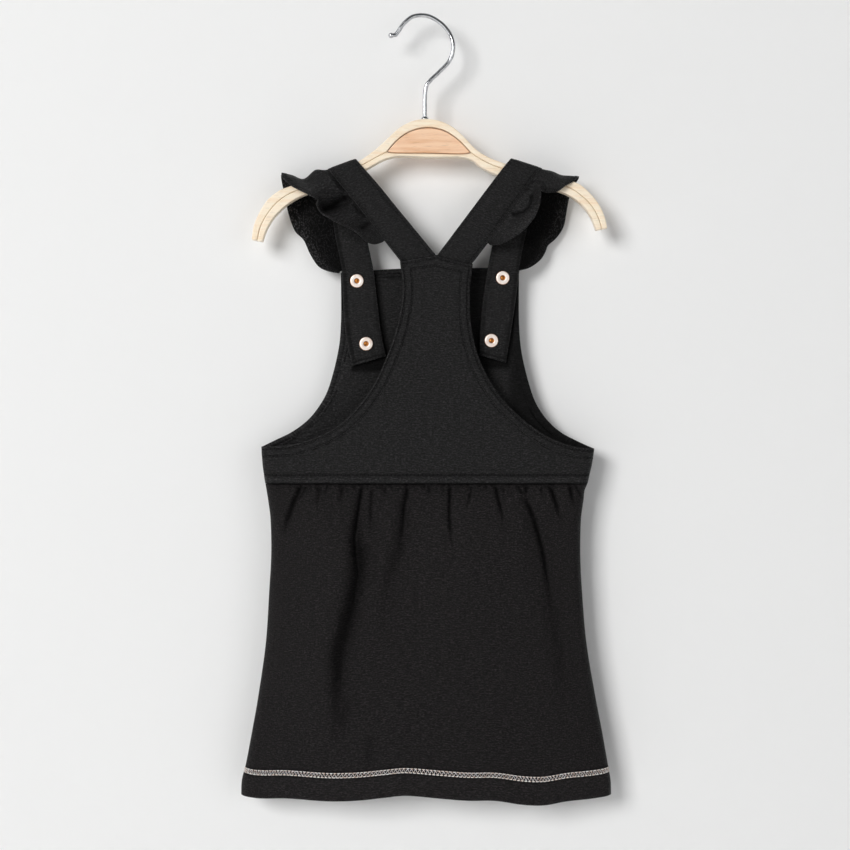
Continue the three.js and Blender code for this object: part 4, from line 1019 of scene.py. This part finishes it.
def makeRuffle(name, rows, free, marks, dip, paintedFrontShade, paintedFrontHighlight):
    free = np.array(free, float)
    count = len(free) - 1

    def rowAt(v):
        return smoothTable(np.linspace(0, 1, count + 1), free[:, 0], v)

    def placeAt(u, v):
        t = rowAt(v) / (len(rows) - 1)
        inner, outer = strapCurves(rows, t)
        across = (outer - inner) / np.linalg.norm(outer - inner, axis=1)[:, None]
        root = outer - across * ruffles["tuck"] + strapOutward(rows, t) * ruffleCloth * 0.35
        end = softCurve(free[:, [1, 2, 3]], v)
        reach = np.linalg.norm(end - root, axis=1)[:, None]
        control = root + across * 0.5 * reach
        w = (u * 0.999)[:, None]
        place = root * (1 - w) ** 2 + control * 2 * w * (1 - w) + end * w * w
        row = rowAt(v)
        over = smoothStep(row, 3.8, 4.8) * smoothStep(9.6 - row, 0, 1.4)
        place[:, 2] -= dip * over * (bell(u - 0.56, 0.17) - 0.8 * bell(u - 0.29, 0.15))
        back = smoothStep(-place[:, 1], 2, 6) * smoothStep(u, 0, 0.12)
        place[:, 1] += marksAt(marks, place[:, 0], place[:, 2])[0] * back
        return place

    def runAt(u, v):
        return np.stack([u, v], axis=1) * ruffles["run"]

    def outward(u, v):
        return strapOutward(rows, rowAt(v) / (len(rows) - 1))

    def shadeAt(u, v):
        # Painted shade in the pinches, along the seam and inside the front half; painted highlights along the
        # free edge; the whole ruffle painted a fifth lighter
        place = placeAt(u, v)
        row = rowAt(v)
        dark = marksAt(marks, place[:, 0], place[:, 2])[1] * smoothStep(-place[:, 1], 2, 6)
        dark = np.maximum(dark, 0.85 * bell(u, 0.026))
        front = smoothStep(row, 6.5, 8.5)
        inner = front * (1 - smoothStep(u, 0.55, 0.8))
        paintedHighlight = 0.5 * bell(u - 0.97, 0.05) + paintedFrontHighlight * front * bell(u - 0.9, 0.12)
        return 1.2 * (1 + paintedHighlight) * (1 - np.maximum(dark, paintedFrontShade * inner))

    across, down = [np.linspace(0, 1, ruffles[key] + 1) for key in ("columns", "rows")]
    piece = clothGrid(name, across, down, placeAt, runAt, outward, shadeAt)[0]
    piece.data.materials.append(jersey)
    thicken(piece, ruffleCloth, inside=terry, subdivide=1)
    return piece, placeAt, outward


ruffleParts = {
    side: makeRuffle("ruffle" + side.title(), straps[side], ruffles[side], ruffles[side + "Marks"],
                     *[ruffles[key][side] for key in ("dip", "paintedFrontShade", "paintedFrontHighlight")])
    for side in ("left", "right")
}
rufflePieces = {side: part[0] for side, part in ruffleParts.items()}
print("straps and ruffles made")


# Snaps

snaps = {
    "ringRadius": 5.5, "ringHeight": 1.4, "capRadius": 5.6, "capHeight": 1.5, "steps": 48,
    "rings": [
        ("snap_ring_upper_left", -50.6, -207.0), ("snap_ring_lower_left", -43.3, -256.5),
        ("snap_ring_upper_right", 64.3, -204.6), ("snap_ring_lower_right", 55.4, -254.0),
    ],
    "ringY": 2.9,
    "caps": [("snap_cap_left", -50.6, -207.0), ("snap_cap_right", 64.3, -204.6)],
    # radius and height as shares of the ring's, from the cloth round to the sunk centre
    "ringProfile": [
        (0.0, 0.0), (0.96, 0.0), (1.0, 0.12), (1.0, 0.4), (0.98, 0.6), (0.93, 0.8), (0.86, 0.92),
        (0.76, 0.98), (0.64, 1.0), (0.52, 0.98), (0.45, 0.92), (0.4, 0.78), (0.37, 0.5), (0.35, 0.2),
        (0.33, 0.12), (0.2, 0.1), (0.17, 0.22), (0.1, 0.28), (0.0, 0.3),
    ],
    "eyelet": 0.38, "rolled": 0.95,  # shares of the radius inside and outside which the bare brass shows
    "capProfile": [
        (0.0, 0.0), (0.97, 0.0), (1.0, 0.12), (1.0, 0.3), (0.96, 0.48), (0.86, 0.68), (0.68, 0.86),
        (0.45, 0.96), (0.22, 1.0), (0.0, 1.0),
    ],
}


def turned(name, profile, steps, axis, place):
    # Spins a profile of radius and height pairs round the given axis at a place
    shape = bmesh.new()
    axis = Vector(axis)
    side = Vector((0.0, 0.0, 1.0)) if abs(axis.z) < 0.5 else Vector((1.0, 0.0, 0.0))
    verts = [shape.verts.new((side * radius + axis * height) * mm) for radius, height in profile]
    edges = [shape.edges.new(pair) for pair in zip(verts[:-1], verts[1:])]
    bmesh.ops.spin(shape, geom=verts + edges, cent=(0, 0, 0), axis=axis, angle=2 * math.pi, steps=steps,
                   use_merge=True)
    bmesh.ops.remove_doubles(shape, verts=shape.verts, dist=1e-7)
    bmesh.ops.recalc_face_normals(shape, faces=shape.faces)
    bmesh.ops.translate(shape, verts=shape.verts, vec=Vector(place) * mm)
    for face in shape.faces:
        face.smooth = True
    return pieceFrom(shape, name)


def snapPart(kind, radius, height, axis, y):
    # The rings or caps of the table, each with the node that it replaces and its place
    profile = [(r * radius, h * height) for r, h in snaps[kind + "Profile"]]
    made = []
    for node, x, z in snaps[kind + "s"]:
        piece = turned(node.replace("snap_" + kind, kind + "Snap"), profile, snaps["steps"], axis, (x, y, z))
        piece.data.materials.append(roseGold)
        made.append((piece, node, x, z))
    return made


ringBack = snaps["ringY"] - seamGap - 0.05
rings = snapPart("ring", snaps["ringRadius"], snaps["ringHeight"], (0, -1, 0), snaps["ringY"] - seamGap)
caps = snapPart("cap", snaps["capRadius"], snaps["capHeight"], (0, 1, 0), bodiceDepth + seamGap)
for ring, node, x, z in rings:
    ring.data.materials.append(bareBrass)
    for face in ring.data.polygons:
        away = face.center - Vector((x, 0, z)) * mm
        share = math.hypot(away.x, away.z) / (snaps["ringRadius"] * mm)
        if (share < snaps["eyelet"] or share > snaps["rolled"]) and face.center.y < ringBack * mm:
            face.material_index = 1
print("snaps made")


# Hanger

hanger = {
    "depth": 11.0, "bevel": 0.8, "groove": 0.26,
    "panelDepth": 9.0, "panelBevel": 0.4, "panelCentre": (6.0, -99.0), "panelInset": (0.965, 0.93),
    "samples": {
        "top": 90, "under": 70, "leftGroove": 30, "rightGroove": 30, "panelTop": 26, "panelUnder": 12,
    },
    "top": [
        (-132.6, -175), (-131.3, -165), (-127.3, -155), (-120.3, -144), (-110.5, -136.4), (-102.2, -133.2),
        (-73, -122.9), (-50, -114.4), (-36, -104.8), (-27, -96.8), (-17, -87.6), (-7, -82.4), (3, -80.6),
        (14.2, -82), (25.3, -87.3), (34.3, -95.3), (42.3, -103.8), (51.4, -109.9), (62.9, -114.6),
        (82, -120), (108, -126.8), (123.6, -131.4), (132.6, -139), (139.7, -148), (144.2, -158),
        (146, -166),
    ],
    "under": [
        (137.4, -167.6), (133.6, -158), (127.8, -149.6), (118.6, -142), (107.6, -136.8), (82, -130.2),
        (58.4, -124), (47.3, -118.4), (37.4, -111.6), (7, -110.6), (-24, -110.6), (-42, -119.4),
        (-62, -128.2), (-89.2, -139), (-99.3, -143.8), (-107.3, -149.5), (-115.3, -157.6), (-121, -167),
        (-124.4, -176.6),
    ],
    "leftGroove": [
        (-128.5, -175.8), (-126.2, -166), (-121.3, -156.3), (-113.8, -146.8), (-104.9, -140.1),
        (-95.7, -136.1), (-67.5, -125.6), (-46, -116.6), (-35, -110.6), (-27.2, -106.6),
    ],
    "rightGroove": [
        (39.5, -107.2), (47, -112.2), (55.1, -116.2), (70.2, -121.4), (95, -128.3), (115.6, -134.1),
        (125.6, -140.5), (133.8, -148.8), (138.9, -158), (141.7, -166.8),
    ],
    "panelTop": [
        (-27.2, -106.6), (-19.5, -97.6), (-9, -90.2), (4.5, -87), (17.5, -89.2), (28.5, -96),
        (39.5, -107.2),
    ],
    "panelUnder": [(39.5, -107.2), (34, -108.2), (7, -107.6), (-22, -107.4), (-27.2, -106.6)],
}


def plate(name, outline, depth, bevel, material):
    # A board of the given outline, cut square and eased along its edges
    board = bmesh.new()
    verts = [board.verts.new((x * mm, -depth / 2 * mm, z * mm)) for x, z in outline]
    face = board.faces.new(verts)
    grown = bmesh.ops.extrude_face_region(board, geom=[face])
    moved = [item for item in grown["geom"] if isinstance(item, bmesh.types.BMVert)]
    bmesh.ops.translate(board, verts=moved, vec=(0, depth * mm, 0))
    bmesh.ops.recalc_face_normals(board, faces=board.faces)
    rims = [edge for edge in board.edges if abs(edge.verts[0].co.y - edge.verts[1].co.y) < 1e-7]
    bmesh.ops.bevel(board, geom=rims, offset=bevel * mm, offset_type="OFFSET", segments=3, profile=0.5,
                    affect="EDGES", material=-1, clamp_overlap=True)
    for side in board.faces:
        side.smooth = abs(side.normal.y) < 0.999
    piece = pieceFrom(board, name)
    piece.data.materials.append(material)
    return piece


def shifted(points, by):
    # The line moved sideways, so that two boards leave a groove between them
    line = np.array(points, float)
    return [tuple(place) for place in line + sideways(line) * by]


gap = hanger["groove"] / 2
topLine, underLine, leftGroove, rightGroove, panelTop, panelUnder = (
    [tuple(place) for place in softCurve(hanger[key], np.linspace(0, 1, count))]
    for key, count in hanger["samples"].items()
)
seamAbove = leftGroove[:-1] + panelTop + rightGroove[1:]
seamBelow = leftGroove[:-1] + panelUnder[::-1] + rightGroove[1:]
upperLine = topLine + shifted(seamAbove, gap)[::-1]
lowerLine = shifted(seamBelow, -gap) + underLine
upperStrip = plate("hangerUpperStrip", upperLine, hanger["depth"], hanger["bevel"], beech)
lowerStrip = plate("hangerLowerStrip", lowerLine, hanger["depth"], hanger["bevel"], beech)
rim = np.array(panelTop + panelUnder[1:-1])
centre = np.array(hanger["panelCentre"])
inset = centre + (rim - centre) * hanger["panelInset"]
inset = [tuple(place) for place in inset]
panelBoard = plate("hangerPanelBoard", inset, hanger["panelDepth"], hanger["panelBevel"], beechPanel)

hook = {
    "wire": 1.75, "ball": 2.2, "neckX": 3.0, "neckZ": -80.4, "collarHeight": 2.2,
    "collar": [(0, 0), (3.0, 0), (3.1, 0.15), (3.05, 0.5), (2.75, 1.3), (2.45, 1.75), (2.1, 1.9), (0, 1.9)],
    # x, z along the middle of the wire, from the ball round the crown to the neck
    "line": [
        (-25.8, -14.2), (-22.6, -14.1), (-20.0, -13.6), (-18.2, -11.4), (-15.4, -7.2), (-11.6, -2.8),
        (-6.4, 0.7), (0.0, 1.75), (6.2, 0.9), (11.4, -1.6), (16.2, -5.0), (20.4, -9.4), (23.6, -14.8),
        (25.2, -21.2), (24.8, -27.8), (22.0, -34.6), (14.6, -42.6), (7.8, -49.0), (4.4, -53.4),
        (3.2, -60.0), (3.0, -68.0),
    ],
}


def makeHook():
    points = [(x, 0, z) for x, z in hook["line"]]
    points.append((hook["neckX"], 0, hook["neckZ"] + hook["collarHeight"] + seamGap))
    share = bands([(0, 0.06, 25), (0.06, 1, 149)])
    length = lengthsAlong(evenCurve(points, np.linspace(0, 1, 600)))[-1]
    swell = []
    for fromTip in share * length:
        past = min(abs(fromTip - hook["ball"]), hook["ball"])
        ball = math.sqrt(max(hook["ball"] ** 2 - past ** 2, 0))
        radius = max(ball, 0.15) if fromTip < hook["ball"] else max(ball, hook["wire"])
        swell.append(radius / hook["wire"])
    return threadPiece("hookWire", [evenCurve(points, share)], hook["wire"], chrome, 8, swell)


hookWire = makeHook()
collarPlace = (hook["neckX"], 0, hook["neckZ"] + seamGap)
hookCollar = turned("hookCollar", hook["collar"], 40, (0, 0, 1), collarPlace)
hookCollar.data.materials.append(chrome)
print("hanger made")


# Sewing

sewing = {
    "pitch": 3.0, "long": 2.3, "thread": 0.22,
    "hemPitch": 3.0, "hemLong": 1.9, "hemSink": 0.45, "hemThread": 0.37, "hemIn": 20.3, "hemWide": 3.2,
    "zigzag": 2.4, "hemAcross": 290, "hemPoints": 900, "overlockPoints": 560,
}


def flatLine(x, z, surface, facing, lift):
    y = facing * (seamGap / 2 + surface(x, z) + lift)
    return np.column_stack([x, y, z, facingWay(facing, len(x))])


def insetLine(edge, by, inside):
    # A line that runs a set distance inside an edge
    side = sideways(edge)
    side *= np.sign(np.sum(side * (np.array(inside) - edge), axis=1))[:, None]
    return edge + side * by


topstitches = []
for edges, surface, facing in ((backEdges, backSurface, -1), (bibEdges, bibSurface, 1)):
    sewn = []
    for by in (bodice["firstLine"], bodice["secondLine"]):
        for edge in edges:
            line = insetLine(edge, by, bodice["middle"])
            others = [distanceTo(line[:, 0], line[:, 1], other) for other in edges if other is not edge]
            clear = np.minimum.reduce(others) >= by * 0.98
            line = line[clear & (line[:, 1] > waistZ + 8)]
            sewn.append(flatLine(line[:, 0], line[:, 1], surface, facing, 0.0))
    x = np.linspace(*bodice["waist"], 240)
    sewn.append(flatLine(x, np.full(240, waistZ + bodice["ridgeWidth"]), surface, facing, -0.3))
    for line in sewn:
        topstitches += stitchRuns(line, sewing["pitch"], sewing["long"])
for side in ("left", "right"):
    piece, placeAt, length, width = strapPieces[side]
    v = np.linspace(0.012, 0.988, 400)
    for share in (straps["stitchIn"] / width, 1 - straps["stitchIn"] / width):
        place = placeAt(np.full(400, share), v)
        out = strapOutward(straps[side], v)
        topstitches += stitchRuns(np.column_stack([place + out * 0.15, out]), sewing["pitch"], sewing["long"])
blackStitches = threadPiece("topstitching", topstitches, sewing["thread"], blackThread, 0)


def overlock(placeAt, outward, count):
    # One thread that wraps the raw edge of a ruffle: over its face, round the edge, over its wrong side
    turn = np.arange(count) % 4
    v = np.linspace(0.004, 0.996, count)
    u = np.where((turn == 0) | (turn == 2), 0.9, 1.0)
    lift = np.array([0.12, 0.15, -ruffleCloth - 0.12, -ruffleCloth - 0.15])[turn]
    return placeAt(u, v) + outward(u, v) * lift[:, None]


edgeRuns = [overlock(*ruffleParts[side][1:], sewing["overlockPoints"]) for side in ("left", "right")]
edgeStitches = threadPiece("ruffleOverlock", edgeRuns, sewing["thread"], blackThread, 0)


def hemRun(placeAt, facing, inward, count, zigzag=0.0, lift=0.25):
    # A line round the hem at a set height above its lower edge
    drop = waistZ - seamGap - hemLevel
    u = np.linspace(0.004, 0.996, count)
    swing = np.where(np.arange(count) % 2 == 0, 0.5, -0.5) * zigzag
    v = 1 - (inward + swing) / drop
    place = placeAt(u, v)
    place[:, 1] += facing * lift
    return place


hemRuns = []
for placeAt, facing in ((skirtBackAt, -1), (skirtFrontAt, 1)):
    for side in (0.5, -0.5):
        line = hemRun(placeAt, facing, sewing["hemIn"] + side * sewing["hemWide"], sewing["hemPoints"])
        line = np.column_stack([line, facingWay(facing, len(line))])
        hemRuns += stitchRuns(line, sewing["hemPitch"], sewing["hemLong"], sewing["hemSink"])
    count = 2 * int(sewing["hemAcross"] / sewing["zigzag"])
    hemRuns.append(hemRun(placeAt, facing, sewing["hemIn"], count, sewing["hemWide"] * 0.9, 0.3))
hemStitches = threadPiece("hemCoverstitch", hemRuns, sewing["hemThread"], goldThread, 1)
print("sewing made")


# Riding on the root, in place of the solids

ridden = [
    (skirtBack, "skirt_back", "jersey"), (skirtFront, "skirt_front", "jersey"),
    (bodiceBack, "bodice_back", "jersey"), (bodiceFront, "bodice_front", "jersey"),
    (strapPieces["left"][0], "strap_left", "jersey"), (strapPieces["right"][0], "strap_right", "jersey"),
    (rufflePieces["left"], "ruffle_left", "jersey"), (rufflePieces["right"], "ruffle_right", "jersey"),
    (upperStrip, "hanger_frame", "hanger_wood"), (lowerStrip, "hanger_frame", "hanger_wood"),
    (panelBoard, "hanger_panel", "panel_wood"),
    (hookWire, "hanger_hook", "hook_metal"), (hookCollar, "hanger_collar", "hook_metal"),
]
ridden += [(piece, node, "snap_metal") for piece, node, x, z in rings + caps]
for piece, node, slot in ridden:
    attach(piece, "root")
    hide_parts(node)
for piece in (blackStitches, edgeStitches, hemStitches):
    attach(piece, "root")

for side in ("left", "right"):
    piece, placeAt, length, width = strapPieces[side]
print("pieces ride on the frame")


# Stage

def stagePlane(name, place, turn, reach, paint):
    plane = bmesh.new()
    bmesh.ops.create_grid(plane, x_segments=1, y_segments=1, size=reach)
    bmesh.ops.rotate(plane, verts=plane.verts, cent=(0, 0, 0), matrix=turn)
    bmesh.ops.translate(plane, verts=plane.verts, vec=place)
    piece = pieceFrom(plane, name)
    piece.data.materials.append(paint)


upright = Matrix.Rotation(math.pi / 2, 3, "X")
level = Matrix.Identity(3)
stagePlane("wall", (0, room["wallY"], 0), upright, room["reach"], makeWallPaint("mattWallPaint", 1.0))
stagePlane("floor", (0, 0, room["floorZ"]), level, room["reach"], makeWallPaint("mattFloorPaint", 0.0))

for lamp in lamps:
    light = bpy.data.lights.new(lamp["name"], "AREA")
    light.shape = "SQUARE"
    light.size = lamp["size"]
    light.energy = lamp["power"]
    light.color = toLinear(lamp["colour"])[:3]
    holder = link(bpy.data.objects.new(lamp["name"], light))
    holder.location = lamp["place"]
    aim = Vector(room["lampsAim"]) - Vector(lamp["place"])
    holder.rotation_euler = aim.to_track_quat("-Z", "Y").to_euler()

world = bpy.data.worlds.new("studioAir")
world.use_nodes = True
air = world.node_tree.nodes["Background"]
feed(world.node_tree, air, {"Color": toLinear(sky["colour"]), "Strength": sky["strength"]})
bpy.context.scene.world = world
bpy.context.scene.view_settings.view_transform = "Standard"

lens = bpy.data.cameras.new("photoCamera")
lens.sensor_width = camera["sensor"]
lens.lens = camera["lens"]
lens.clip_start, lens.clip_end = 0.05, 20.0
photoCamera = link(bpy.data.objects.new("photoCamera", lens))
photoCamera.location = camera["place"]
photoCamera.rotation_euler = (math.pi / 2, 0.0, 0.0)
bpy.context.scene.camera = photoCamera
print("stage, lamps and camera made")
